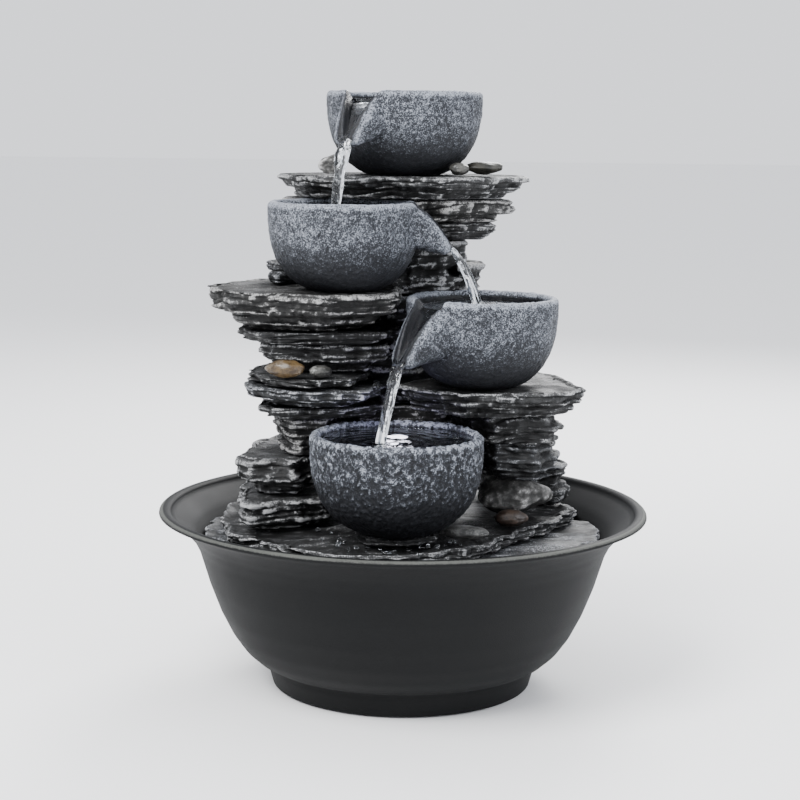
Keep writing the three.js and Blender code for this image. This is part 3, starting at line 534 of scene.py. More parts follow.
def sheet_edges(place, seed):
    """How far each split sheet's edge is broken back, in mm.

    Height, bent by a slow noise, is divided by a sheet's thickness. The whole part is the sheet's number,
    which picks a broken edge of its own, and the fraction tells the groove between two sheets.
    """
    thickness = 2.3 + 1.2 * ((seed * 0.37) % 1)
    bent = place[..., 2] + 3.6 * noise(place, (30, 30, 70), seed) + 0.9 * noise(place, (8, 8, 40), seed + 2)
    bent = bent / thickness
    bent = bent + 0.85 * noise(np.stack([bent, 0 * bent, 0 * bent], -1), 2.4, seed + 6)
    sheet = np.floor(bent)
    level = np.concatenate([place[..., :2], sheet[..., None]], -1)
    broken = 2.2 * noise(level, (24, 24, 1), seed + 1)
    for cell, bite, more in ((11, 3.2, 2), (4.5, 1.6, 3), (2.0, 0.6, 4)):
        broken = broken + bite * np.abs(noise(level, (cell, cell, 1), seed + more))
    groove = 0.9 * np.abs(2 * (bent - sheet) - 1) ** 5
    return broken - 1.2 + groove


def stone_grid(node, seed, proud, undercut_mm):
    """Rings from the under face's middle, out, up the wall and in over the top.

    Wall: r = outline + proud - sheets - chips - the rounding of the corners - the undercut below the lip.
    Faces: height = face +- (terraces + fine cleft), let down towards the edge.
    """
    centre, bottom, tall, direction, share, wall = wall_of(node)
    height = np.broadcast_to((bottom + share * tall)[:, None], wall.shape)
    place = np.concatenate([centre + wall[..., None] * direction, height[..., None]], -1)
    chips = 1.8 * fractal(place, (15, 15, 9), 3, seed + 5) + 1.3 * np.abs(noise(place, (5, 5, 2.6), seed + 9))
    corner = np.clip(np.abs(share - 0.5) * 2 - (1 - CORNER / tall), 0, None) * tall / CORNER
    waver = 1 + 0.7 * noise(place, (26, 26, 60), seed + 21)
    undercut = min(0.5 * tall, undercut_mm) * (1 - share) ** 1.5
    worn = 1.4 * corner[:, None] ** 2 + undercut[:, None] * waver
    wall = np.maximum(wall + proud - sheet_edges(place, seed) - chips - worn, 0.35 * wall)
    wall_grid = np.concatenate([centre + wall[..., None] * direction, height[..., None]], -1)

    caps = []
    for edge, rings, face in ((wall_grid[0], UNDER_RINGS, -1), (wall_grid[-1], TOP_RINGS, 1)):
        flat = centre + (edge[None, :, :2] - centre) * rings[:, None, None]
        spot = np.concatenate([flat, np.full(flat.shape[:2] + (1,), edge[0, 2])], -1)
        rough = fractal(spot, (26, 13, 40), 3, seed + 11)
        terraces = np.floor((rough + 1) * 4) / 4 - 1
        cleft = 1.0 * terraces + 0.3 * rough + 0.4 * noise(spot, (7, 3.4, 9), seed + 17)
        fall = 0.9 * rings[:, None] ** 8
        spot[..., 2] += face * (np.minimum(cleft, 0.3) - fall)
        caps.append(spot)
    return np.concatenate([caps[0], wall_grid, caps[1]])


# %% Every stone
# The first start of a name that fits a stone counts, and the empty one at the end fits any stone.
PROUD = {  # mm that the skin stands outside the plain stone
    "base_plate": -0.3, "terrace_slab": 2.4, "column": 3.6, "back_slab": 3.2, "right_slab_2": 3.4, "": 1.9,
}
UNDERCUT = {  # mm that the wall draws in from its lip to its foot
    "base_plate": 2.0, "column": 0.6, "back_slab": 0.6, "left_slab_9": 6.5, "right_slab_3": 6.5,
    "right_slab_2": 2.0, "": 5.2,
}
BRUSH_AND_SHADE = {  # more of the pale brush, or less of it; the less on right_slab_1 and right_slab_2 is painted shade, as they lie in shadow under right_slab_3
    "terrace": 0.42, "base_plate": 0.5, "top_slab": 0.42, "left_slab_1": 0.35, "left_slab_4": 0.35,
    "left_slab_5": 0.3, "right_slab_1": -0.5, "right_slab_2": -0.45, "right_back": -0.2, "": 0.0,
}
FLAT_SHARE = {"base_plate": 0.2, "": 0.75}  # how much of that is missing on the flat top


def chosen(table, node):
    """The value of the first entry whose key the node's name starts with."""
    return next(value for start, value in table.items() if node.startswith(start))


def make_stone(node, seed):
    """Relief: 0.45 of how far fine things stand out and 0.6 of broad ones, less on flat tops and below."""
    grid = stone_grid(node, seed, chosen(PROUD, node), chosen(UNDERCUT, node))
    fine, broad = stand_out(grid, 1) / 0.26, stand_out(grid, 4) / 0.9
    upright = normals_of(grid)[..., 2]
    # Faces that look down lose the pale brush strongly, and flat tops lose a little. The darkening of the
    # down-facing faces is partly the dry brush missing them and partly painted shade under the overhangs.
    relief = 0.45 * fine + 0.6 * broad + np.where(upright < 0, 0.8, -0.22) * upright
    upright = np.clip(upright, 0, 1)
    # Each stone's own brush offset. For the shaded right slabs, this offset is painted shade.
    relief = np.clip(relief, -1, 1) + chosen(BRUSH_AND_SHADE, node) * (1 - chosen(FLAT_SHARE, node) * upright)
    marks = {"relief": with_poles(relief), "upright": with_poles(upright)}
    mesh = mesh_of(node + "_skin", *shell_of(grid), marks)
    paint = SLATES[seed % len(SLATES)] if seed % 2 else SLATES[0]
    add_piece(mesh, paint, "rockwork", node)


STONES = [row["node"] for row in frame["record"]["subparts"] if row["material_slot"] == "slate_resin"]
for number, node in enumerate(STONES):
    make_stone(node, 31 * number + 7)
print(len(STONES), "stones,", len(bpy.data.meshes[STONES[0] + "_skin"].vertices), "points in the first")

# %% [markdown]
# ## The bowls' shape
# Each bowl is a thick pot turned to a full, rounded profile, and three of them pour: two cheeks grow out of
# the rim like a folded leaf and close on a narrow lip, with a channel between them. A pot and a leaf are
# easy surfaces on their own, so the bowl is made of three: the turned pot, the closed body of the leaf,
# and the channel that is cut from both. Two Boolean modifiers join and cut them, and a voxel Remesh then
# gives one even skin with softened edges, fine enough to take a worked texture.

# %% Turned profiles
POT_COLUMNS = 128
POT_STEPS = 28
POT_WALL = 4.4
POT_FLOOR = 6.0
POT_FULLNESS = 2.6
FOOT_SHARE = 0.45
RIM = 2.2  # how far down the rounding of the rim starts


def pot_curve(radius, height):
    """Radius and height from the foot to the rim: r = R (1 - f d^p)^(1/p) and z = h (1 - d), with p the
    fullness and f chosen for the width of the foot, as the depth d falls from 1 to 0 along a cosine."""
    depth = np.cos(np.linspace(0, math.pi / 2, POT_STEPS))
    full = 1 - FOOT_SHARE**POT_FULLNESS
    reach = radius * (1 - full * depth**POT_FULLNESS) ** (1 / POT_FULLNESS)
    return np.stack([reach, height * (1 - depth)], -1)


def turned(profile, columns):
    """A grid of the profile's radius and height carried round the vertical axis."""
    flat = profile[:, None, :1] * on_circle(around(columns))
    return np.concatenate([flat, np.broadcast_to(profile[:, None, 1:], flat.shape[:2] + (1,))], -1)


def pot_grid(radius, height):
    """The pot's outside up to a rounded rim, and its inside down to the floor."""
    outer = pot_curve(radius, height - RIM)
    inner = pot_curve(radius - POT_WALL, height - RIM - POT_FLOOR)[::-1] + (0, POT_FLOOR)
    bend = np.linspace(0, math.pi, 9)[1:-1]
    rim = np.stack([radius - POT_WALL / 2 * (1 - np.cos(bend)), height - RIM + RIM * np.sin(bend)], -1)
    foot = np.array([[4.0, 0.0]])
    well = np.array([[4.0, POT_FLOOR]])
    return turned(np.concatenate([foot, outer, rim, inner, well]), POT_COLUMNS)


# %% The leaf and its channel
LEAF_COLUMNS = 48
LEAF_ROWS = 34
LEAF_ROOT = 7  # how far inside the pot's outside the leaf starts


def section_grid(distance, half_width, bottom, top, power):
    """Closed sections stood across the way out: |y / half width|^n + |z / half height|^n = 1."""
    turn = around(LEAF_COLUMNS)
    across = np.sign(np.cos(turn)) * np.abs(np.cos(turn)) ** (2 / power)
    upward = np.sign(np.sin(turn)) * np.abs(np.sin(turn)) ** (2 / power)
    middle, half = (top + bottom) / 2, (top - bottom) / 2
    x = np.broadcast_to(distance[:, None], (len(distance), LEAF_COLUMNS))
    return np.stack([x, half_width[:, None] * across, middle[:, None] + half[:, None] * upward], -1)


def leaf_grids(bowl):
    """The leaf narrows evenly from root to tip. Its edges leave the rim and fall to the tip, its keel is
    lower by the depth of the channel, and the channel is a lower half ellipse that is open above."""
    radius, height, tip, drop = bowl["radius"], bowl["height"], bowl["tip"], bowl["drop"]
    root = radius - LEAF_ROOT
    out = np.linspace(root, tip, LEAF_ROWS)
    share = (out - root) / (tip - root)
    past = np.clip((out - radius + 1.5) / (tip - radius + 1.5), 0, 1)
    top = height - 0.2 - (drop - 3) * (0.35 * past + 0.65 * past**1.7)
    keel = np.interp(out, [root, radius - 3, tip - 3, tip], height - drop + np.array([6, 1.5, -1.5, 0]))
    blunt = np.sqrt(np.clip(1 - np.clip((share - 0.93) / 0.07, 0, 1) ** 2, 0.12, 1))
    body = section_grid(out, (14.2 - 8.1 * share) * blunt, keel, top, 3.0)
    cut = np.linspace(root - 5, tip + 3, LEAF_ROWS)
    share = np.clip((cut - root) / (tip - root), 0, 1)
    floor = np.interp(cut, [root - 5, radius - 2, tip + 3], height - np.array([7.5, 8.5, drop + 2]))
    channel = section_grid(cut, 11.4 - 7.3 * share, floor, 2 * (height + 3) - floor, 2.0)
    return body, channel


def placed(grid, bowl):
    """The grid turned to the bowl's heading and set on the bowl's place."""
    cos, sin = math.cos(bowl["heading"]), math.sin(bowl["heading"])
    x, y, z = np.moveaxis(grid, -1, 0)
    return np.stack([cos * x - sin * y, sin * x + cos * y, z], -1) + bowl["place"]


# %% Measuring the bowls in the frame


def measure_bowl(node):
    """Place, radius, height and, for a pouring bowl, the heading of its leaf, its tip and its drop."""
    triangles = triangles_of(node)
    seat, rim = triangles[..., 2].min(), triangles[..., 2].max()
    ends = np.concatenate(outline_at(triangles, seat + 3))
    place = np.append((ends.min(0) + ends.max(0)) / 2, seat)
    radius = np.median(reach_at(triangles, place[:2], rim - RIM, around(90)))
    away = np.hypot(*np.moveaxis(triangles[..., :2] - place[:2], -1, 0))
    bowl = {"node": node, "place": place, "radius": radius, "height": rim - seat, "heading": 0.0}
    if away.max() > radius + 3:
        far = triangles[away > away.max() - 0.6]
        bowl["heading"] = math.atan2(*(far.mean(0)[:2] - place[:2])[::-1])
        bowl["tip"] = away.max() - 0.25
        bowl["drop"] = rim - far[:, 2].min()
    return bowl


BOWLS = [measure_bowl(node) for node in ("bowl_top", "bowl_upper", "bowl_middle", "bowl_low")]
for bowl in BOWLS:
    print(bowl["node"], {key: np.round(value, 2).tolist() for key, value in bowl.items() if key != "node"})

# %% [markdown]
# ## The bowls' worked skin
# The pots are cast from a modelled original whose whole surface was stippled with a stiff tool, so it is
# covered in small worm-like grains. Pushing every point of the fine mesh along its normal by a ridged noise
# gives real grains that break the outline, which a bump map never does. The same noise is kept as relief,
# and the inside and the channel are marked wet, where the water has left the resin smooth and dark.

# %% Joining and cutting a bowl
VOXEL = 0.62


def scratch(name, grid):
    """An object that only lends its shape to a modifier and is deleted afterwards."""
    return add_object(name, mesh_of(name, *shell_of(grid)))


def modified(thing, name, kind, **settings):
    modifier = thing.modifiers.new(name, kind)
    for key, value in settings.items():
        setattr(modifier, key, value)


def read_points(mesh, attribute_name):
    values = np.empty(len(mesh.vertices) * 3, np.float32)
    mesh.vertices.foreach_get(attribute_name, values)
    return values.reshape(-1, 3).astype(float)


def read_quads(mesh):
    """The corners of a mesh that is all quads, as a voxel remesh leaves it."""
    corners = np.empty(len(mesh.loops), np.int32)
    mesh.loops.foreach_get("vertex_index", corners)
    return corners.reshape(-1, 4)


def even_skin(bowl):
    """The bowl's points, outward directions and quads, after the Boolean and Remesh modifiers."""
    pot = scratch("pot", placed(pot_grid(bowl["radius"], bowl["height"]), bowl))
    helpers = [pot]
    if "tip" in bowl:
        for name, grid, operation in zip(("leaf", "channel"), leaf_grids(bowl), ("UNION", "DIFFERENCE")):
            helpers.append(scratch(name, placed(grid, bowl)))
            modified(pot, name, "BOOLEAN", object=helpers[-1], operation=operation, solver="EXACT")
    modified(pot, "even", "REMESH", mode="VOXEL", voxel_size=VOXEL * MM)
    modified(pot, "soften", "SMOOTH", factor=0.5, iterations=3)
    graph = bpy.context.evaluated_depsgraph_get()
    mesh = bpy.data.meshes.new_from_object(pot.evaluated_get(graph))
    skin = read_points(mesh, "co") / MM, read_points(mesh, "normal"), read_quads(mesh)
    for helper in helpers:
        bpy.data.objects.remove(helper)
    bpy.data.meshes.remove(mesh)
    return skin


# %% Rims, wet places and grains


def edge_share(points, normals, quads):
    """How far each point stands out of its surroundings: its height over the mean of its neighbours, after
    the mean has been taken five times over, in mm."""
    first, second = quads.ravel(), np.roll(quads, -1, 1).ravel()
    count = np.bincount(first, minlength=len(points)).clip(1)[:, None]
    mean = points
    for _ in range(5):
        mean = np.stack([np.bincount(first, mean[second, k], len(points)) for k in range(3)], -1) / count
    return ((points - mean) * normals).sum(-1)


def wetness(points, bowl):
    """1 inside the pot and along the channel, 0 outside."""
    local = points - bowl["place"]
    away = np.hypot(local[:, 0], local[:, 1])
    inner = pot_curve(bowl["radius"] - POT_WALL * 0.6, bowl["height"] - RIM - POT_FLOOR * 0.7)
    inside = eased(np.interp(local[:, 2], inner[:, 1] + POT_FLOOR * 0.7, inner[:, 0]) - away, -0.4, 0.8)
    inside = inside * eased(bowl["height"] - 1.4 - local[:, 2], 0, 2.5)
    if "tip" not in bowl:
        return inside
    cos, sin = math.cos(bowl["heading"]), math.sin(bowl["heading"])
    out = cos * local[:, 0] + sin * local[:, 1]
    side = np.abs(cos * local[:, 1] - sin * local[:, 0])
    depth = np.array([7, 8.5, bowl["drop"] + 2])
    floor = np.interp(out, [0, bowl["radius"] - 2, bowl["tip"] + 3], bowl["height"] - depth)
    edge = np.interp(out, [bowl["radius"] - LEAF_ROOT, bowl["tip"]], [11.4, 4.1])
    channel = eased(edge - side, -0.4, 0.6) * eased(local[:, 2] - floor, -1.6, -0.4)
    return np.maximum(inside, channel * (out > bowl["radius"] - LEAF_ROOT - 1))


def make_bowl(bowl, seed, tooled):
    """A bowl worked by the tool, which is 1 for light strokes and more for deeper and finer ones."""
    points, normals, quads = even_skin(bowl)
    wet = wetness(points, bowl)
    edge = edge_share(points, normals, quads)
    slanted = points @ np.array([[0.92, 0.0, 0.39], [0, 1, 0], [-0.39, 0, 0.92]])
    grain_mm = 1.65 - 0.25 * tooled
    stroke = (grain_mm, grain_mm, 1.9 * grain_mm)
    grains = 0.6 * ridged(slanted, stroke, 2, seed) + 0.4 * noise(points, 1.2, seed + 3)
    dents = fractal(points, 11, 2, seed + 7)
    height = ((0.3 + 0.25 * tooled) * (grains - 0.42) + 0.4 * dents) * (1 - 0.75 * wet)
    skin = points + normals * height[:, None]
    relief = np.clip(1.6 * tooled * (grains - 0.29 - 0.09 * tooled), -2.4, 1.8)
    rim = np.clip(7 * edge - 0.25, 0, 1)
    # height_share is lower on the low bowl. The paint uses it to darken each bowl towards its foot as painted
    # shade.
    share = (points[:, 2] - bowl["place"][2]) / bowl["height"] - 0.06 * (tooled - 1)
    marks = {"relief": relief, "rim": rim, "wet": wet, "height_share": share}
    mesh = mesh_of(bowl["node"] + "_skin", skin, quads, np.empty((0, 3), np.int64), marks)
    print(mesh.name, len(quads) * 2, "triangles, edges", np.round(np.percentile(edge, [1, 50, 99]), 2))
    add_piece(mesh, BOWL_PAINT, "rockwork", bowl["node"])


# %% [markdown]
# ## Bowl paint
# The bowls have a navy-charcoal ground, and a pale blue-grey is dragged over the grains with a nearly dry
# brush. Towards the foot both coats fade into the dark ground as painted shade under the bowl, so there is
# more of the pale towards the rim. The wet inside has lost the pale coat and shines.

# %% Bowl paint and bowls
POT_GROUND = (0.0058, 0.0062, 0.0078, 1)
POT_MIDDLE = (0.0200, 0.0220, 0.0275, 1)
POT_PALE = (0.25, 0.27, 0.31, 1)


def bowl_paint():
    material, start, shader = new_paint("bowl_resin_paint", IOR=1.4, Specular_IOR_Level=0.3)
    relief, wet, rim = (attribute(start, name) for name in ("relief", "wet", "rim"))
    # upper is 0 near the foot and 1 high up. It fades the middle coat and the pale brush into the dark ground
    # towards the foot, as painted shade under the bowl.
    upper = attribute(start, "height_share").between(0.08, 0.68)
    grit = specks(start, 2600, 1, 0.5) - 0.5
    grain = specks(start, 1500, 2, 0.6) - 0.5
    cloud = specks(start, 75, 2, 0.5) - 0.5
    coat = relief * 0.55 + grain * 3.2 + grit * 2.2 + cloud * 0.8 + upper * 0.6 + rim * 0.7 - wet * 1.8
    colour = (coat.between(-0.6, 0.75) * (0.12 + upper * 0.88)).mixed(POT_GROUND, POT_MIDDLE)
    brushed = coat.between(0.42, 1.6) * (0.1 + upper * 0.9)
    colour = (brushed + rim * (1 - wet * 0.8) * grain.between(-0.15, 0.2) * 0.42).mixed(colour, POT_PALE)
    feed(colour, shader, "Base Color")
    feed(0.62 - wet * 0.44 + cloud * 0.2, shader, "Roughness")
    roughen(start, shader, grain + grit * 0.4, 0.45, 0.8)
    return material


BOWL_PAINT = bowl_paint()
for number, bowl in enumerate(BOWLS):
    make_bowl(bowl, 5 + 40 * number, tooled=2.6 if bowl["node"] == "bowl_low" else 1.0)

# %% [markdown]
# ## The basin
# The basin is one spun shell with a rolled lip, cast with a fine sandy skin. Its outline is read from the
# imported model, by slicing it at many heights and taking the farthest wall for the outside and the nearest
# for the inside, so it fits the rockwork as it did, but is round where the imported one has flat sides.

# %% The basin's outline
BASIN_COLUMNS = 320
LIP = 2.0  # how far down the rolling of the lip starts
SOLE_WIDTH = 15  # from the outside of the foot ring to the recess inside it
RECESS = 8.5


def basin_profile():
    """Radius and height: under the foot, up the outside, over the lip in a half ellipse, down the inside."""
    triangles = triangles_of("basin")
    low, high = triangles[..., 2].min(), triangles[..., 2].max()
    angles = around(80)
    outside = np.concatenate([[low + 0.05], np.linspace(low + 0.7, high - LIP, 64)])
    outer = np.array([reach_at(triangles, (0, 0), z, angles).max() for z in outside])
    floor = triangles[np.hypot(triangles[..., 0], triangles[..., 1]).min(1) < 1][..., 2].max()
    inside = np.linspace(high - LIP, floor + 0.4, 48)
    inner = np.array([np.median(reach_at(triangles, (0, 0), z, angles, nearest=True)) for z in inside])
    bend = np.linspace(0, math.pi, 13)[1:-1]
    thick = outer[-1] - inner[0]
    lip = np.stack([outer[-1] - thick / 2 * (1 - np.cos(bend)), high - LIP + LIP * np.sin(bend)], -1)
    sole = outer[0] - SOLE_WIDTH
    bevel = [[sole - 3, RECESS], [sole - 1, RECESS - 1], [sole, low + 1], [sole + 1, low]]
    under = np.array([[5, RECESS], *bevel])
    well = np.stack([np.linspace(inner[-1] - 1, 5, 8), np.full(8, floor)], -1)
    wall = [np.stack([outer, outside], -1), lip, np.stack([inner, inside], -1)]
    return np.concatenate([under, *wall, well])


# %% Basin paint and basin
LIP_HIGHLIGHT_RING = (112.2, 113.6)  # radii between which the painted highlight along the top of the lip starts
BASIN_DARK = (0.0028, 0.0030, 0.0033, 1)
BASIN_MIDDLE = (0.0048, 0.0051, 0.0053, 1)
BASIN_LIP_HIGHLIGHT = (0.07, 0.072, 0.066, 1)


def basin_paint():
    material, start, shader = new_paint("basin_resin_paint", IOR=1.36, Specular_IOR_Level=0.22)
    grit = specks(start, 1500, 3, 0.6)
    cloud = specks(start, 26, 3, 0.5)
    rim = attribute(start, "rim")
    # A pale line along the top of the rolled lip, broken by noise. It is a painted highlight where the light
    # catches the lip.
    worn = (rim * 1.1 + (grit - 0.5) * 0.9 + (cloud - 0.5) * 0.5).between(0.55, 1.15)
    colour = (cloud + (grit - 0.5) * 0.8).between(0.2, 0.8).mixed(BASIN_DARK, BASIN_MIDDLE)
    feed(worn.mixed(colour, BASIN_LIP_HIGHLIGHT), shader, "Base Color")
    feed(0.62 + (cloud - 0.5) * 0.2 + (grit - 0.5) * 0.15, shader, "Roughness")
    roughen(start, shader, grit, 0.2, 0.6)
    return material


def make_basin():
    profile = basin_profile()
    grid = turned(profile, BASIN_COLUMNS)
    top = profile[:, 1].max()
    grid = grid + normals_of(grid) * 0.12 * fractal(grid, 26, 2, 3)[..., None]
    # edge marks the top of the outer lip, which carries the painted highlight.
    edge = eased(grid[..., 2], top - 2.4, top - 0.6)
    edge = edge * eased(np.hypot(grid[..., 0], grid[..., 1]), *LIP_HIGHLIGHT_RING)
    mesh = mesh_of("basin_skin", *shell_of(grid), {"rim": with_poles(edge)})
    print("basin", len(profile), "rings, lip radius", round(profile[:, 0].max(), 2))
    add_piece(mesh, basin_paint(), "basin", "basin")


make_basin()

# %% [markdown]
# ## Pebbles and the boulder
# River pebbles are worn ovals, so each is an ellipsoid that slow noise has pushed out of true. The boulder
# is broken rather than worn: it is the same oval, cut by a few random flats whose edges are then softened.
# Both keep the size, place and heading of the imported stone, which are measured from its points.

# %% Measuring and making a pebble
SOFTNESS = 0.05  # how roundly one flat of a broken stone meets the next


def oval_of(node):
    """Centre, half sizes and heading, the heading being the long axis of the points' spread in plan."""
    points = triangles_of(node).reshape(-1, 3)
    centre = (points.min(0) + points.max(0)) / 2
    spread = np.cov((points[:, :2] - centre[:2]).T)
    heading = 0.5 * math.atan2(2 * spread[0, 1], spread[0, 0] - spread[1, 1])
    cos, sin = math.cos(heading), math.sin(heading)
    turn = np.array([[cos, -sin, 0], [sin, cos, 0], [0, 0, 1]])
    return centre, np.abs((points - centre) @ turn).max(0), turn


def sphere_grid(rows, columns):
    """Directions from near the lower pole to near the upper one."""
    return turned(on_circle(np.linspace(-0.97, 0.97, rows) * math.pi / 2), columns)


def flats(directions, count, seed):
    """How far each direction reaches before it meets the nearest of a set of random planes, rounded over.

    A plane at distance d with normal n is met at d / (n . e). The soft minimum of these and of 1 is
    -s log(sum(exp(-r / s))).
    """
    spots = np.random.default_rng(seed)
    normals = spots.normal(size=(count, 3))
    normals /= np.linalg.norm(normals, axis=1, keepdims=True)
    reach = spots.uniform(0.62, 0.88, count) / np.maximum(directions @ normals.T, 0.05)
    reach = np.concatenate([np.minimum(reach, 4), np.ones(directions.shape[:-1] + (1,))], -1)
    return -SOFTNESS * np.log(np.exp(-reach / SOFTNESS).sum(-1)) + SOFTNESS * 0.5


def make_pebble(node, paint, seed, facets, rows=44, columns=72, lumps=0.2):
    """r = 1 + lumps times a slow noise, cut by flats if it is broken, then stretched to the half sizes."""
    centre, half, turn = oval_of(node)
    directions = sphere_grid(rows, columns)
    reach = 1 + lumps * fractal(directions, 0.9, 3, seed)
    if facets:
        reach = reach * flats(directions, facets, seed)
    local = directions * reach[..., None]
    local = local / np.abs(local).max((0, 1)) * half
    rough = 0.02 * fractal(local, half.min() * 0.4, 3, seed + 5)
    grid = (local * (1 + rough[..., None])) @ turn.T + centre
    relief = np.clip(stand_out(grid, 2) / 0.12 - 0.3, -1, 1)
    mesh = mesh_of(node + "_skin", *shell_of(grid), {"relief": with_poles(relief)})
    add_piece(mesh, paint, "rockwork", node)


# %% Pebble paints and pebbles


def pebble_paint(name, *colours):
    """Mottled stone, dark and light, with pale veins under a wet coat."""
    dark, light, vein = ((*colour, 1) for colour in colours)
    material, start, shader = new_paint(name, IOR=1.4, Coat_Roughness=0.25)
    mottle = specks(start, 190, 4, 0.6)
    grit = specks(start, 1400, 2, 0.6)
    stain = specks(start, 80, 2, 0.5)
    colour = (mottle + (grit - 0.5) * 0.5).between(0.35, 0.65).mixed(dark, light)
    colour = (stain + (grit - 0.5) * 0.3).between(0.56, 0.68).mixed(colour, vein)
    feed(colour, shader, "Base Color")
    feed(0.42 + (mottle - 0.5) * 0.3, shader, "Roughness")
    feed(stain.between(0.3, 0.6) * 0.25, shader, "Coat Weight")
    roughen(start, shader, mottle + grit * 0.5, 0.25, 0.6)
    return material


TAN = pebble_paint("pebble_tan_paint", (0.028, 0.016, 0.006), (0.085, 0.054, 0.022), (0.12, 0.1, 0.075))
BROWN = pebble_paint("pebble_brown_paint", (0.02, 0.014, 0.011), (0.055, 0.038, 0.029), (0.11, 0.095, 0.08))
OLIVE = pebble_paint("pebble_olive_paint", (0.011, 0.011, 0.009), (0.036, 0.034, 0.027), (0.08, 0.08, 0.07))
GREY = pebble_paint("pebble_grey_paint", (0.016, 0.016, 0.015), (0.06, 0.059, 0.054), (0.16, 0.16, 0.15))
PALE = pebble_paint("pebble_pale_paint", (0.04, 0.04, 0.039), (0.15, 0.15, 0.145), (0.34, 0.34, 0.33))
ROUGH = brushed_paint("boulder_paint", grey(0.03, -0.02), grey(0.12, -0.02), grey(0.42, -0.01), 0.4)

PEBBLES = {
    "pebble_ledge_tan": (TAN, "pebble_tan"),
    "pebble_ledge_grey": (GREY, "pebble_grey"),
    "pebble_terrace_brown": (BROWN, "pebble_tan"),
    "pebble_terrace_flat": (PALE, "pebble_grey"),
    "pebble_summit_rock": (ROUGH, "pebble_grey"),
    "pebble_summit_speckled": (GREY, "pebble_grey"),
    "pebble_summit_olive": (OLIVE, "pebble_grey"),
}
for number, (node, (paint, slot)) in enumerate(PEBBLES.items()):
    make_pebble(node, paint, 50 + number, facets=9 if paint is ROUGH else 0)
make_pebble("boulder", ROUGH, 91, facets=14, rows=110, columns=170, lumps=0.25)
print(len(PEBBLES), "pebbles and a boulder")

# %% [markdown]
# ## The plain parts
# The pads, hose, nozzle, lamp and pump are moulded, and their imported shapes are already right, so they
# stay as they are and only get a finish. Moulded plastic has a faint grain and rubber is duller. The
# hose is clear vinyl, a little clouded. The lamp's lens shines by itself, and a small lamp just over it,
# tied to the rockwork so that the light moves with it, throws its violet glow on the bowl and the stones.

# %% Moulded finishes


def moulded_paint(name, colour, roughness, grain_mm):
    """Moulded stuff with a fine grain of that depth, and a paler scuff here and there."""
    material, start, shader = new_paint(name, IOR=1.48)
    grit = specks(start, 2200, 2, 0.5)
    scuffs = specks(start, 120, 4, 0.6)
    lighter = tuple(min(1.0, channel * 1.7 + 0.004) for channel in colour[:3]) + (1,)
    feed((scuffs + (grit - 0.5) * 0.4).between(0.4, 0.75).mixed(colour, lighter), shader, "Base Color")
    feed(roughness + (scuffs - 0.5) * 0.25, shader, "Roughness")
    roughen(start, shader, grit + scuffs * 0.5, grain_mm, 0.6)
    return material


def hose_paint():
    """Clear vinyl, clouded by a thin film."""
    material, start, shader = new_paint("clear_hose_paint", IOR=1.45, Transmission_Weight=0.85)
    film = specks(start, 150, 4, 0.6)
    feed(film.between(0.3, 0.8).mixed((0.62, 0.68, 0.66, 1), (0.8, 0.84, 0.82, 1)), shader, "Base Color")
    feed(0.16 + film * 0.25, shader, "Roughness")
    return material


def lens_paint():
    """A frosted lens that shines, white in places and violet in others."""
    material, start, shader = new_paint("lamp_lens_paint", Roughness=0.15, Emission_Strength=6.0)
    frost = specks(start, 900, 2, 0.5)
    feed(frost.between(0.2, 0.8).mixed((0.7, 0.7, 0.9, 1), (0.9, 0.9, 1, 1)), shader, "Base Color")
    feed(frost.between(0.1, 0.9).mixed((0.78, 0.76, 1.0, 1), (1, 1, 1, 1)), shader, "Emission Color")
    return material


FINISHES = {
    "pump_plastic": moulded_paint("pump_plastic_paint", (0.011, 0.0115, 0.013, 1), 0.42, 0.06),
    "black_rubber": moulded_paint("black_rubber_paint", (0.008, 0.008, 0.0085, 1), 0.75, 0.1),
    "shaft_ceramic": moulded_paint("shaft_ceramic_paint", (0.55, 0.54, 0.5, 1), 0.28, 0.02),
    "clear_hose": hose_paint(),
    "lamp_lens": lens_paint(),
}

plain = [row for row in frame["record"]["subparts"] if row["material_slot"] in FINISHES]
for row in plain:
    for slot in frame["nodes"][row["node"]].material_slots:
        slot.material = FINISHES[row["material_slot"]]
print(len(plain), "plain parts finished")

# %% Lamp glow
GLOW_ABOVE = 0.009  # metres from the top of the lens to the lamp


def add_glow():
    """A small violet lamp over the middle of the lens."""
    low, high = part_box("lamp_lens")
    data = bpy.data.lights.new("lamp_glow", "POINT")
    data.energy = 0.016
    data.color = (0.55, 0.5, 1.0)
    data.shadow_soft_size = 0.004
    glow = add_object("lamp_glow", data)
    glow.visible_glossy = glow.visible_transmission = False  # the water shows the lens, not the lamp
    glow.parent = frame["bodies"]["rockwork"]
    glow.location = ((low[0] + high[0]) / 2, (low[1] + high[1]) / 2, high[2] + GLOW_ABOVE)


add_glow()
print("lamp glow", round(GLOW_ABOVE / MM), "mm over the lens")

# %% [markdown]
# ## Water
# Running water is clear, so it is seen only by what it bends and mirrors, and it has to be a closed body
# with a rippled skin. Each pour is a cross-section carried along a path: a wide thin sheet down the
# channel, which draws together as it falls and speeds up. The path past the lip is a parabola, because the
# water keeps the speed that it left with. The pools are discs with rings that spread from where a pour
# lands. All of it rides with the rockwork, and only the reservoir stays behind with the basin.

# %% Water material


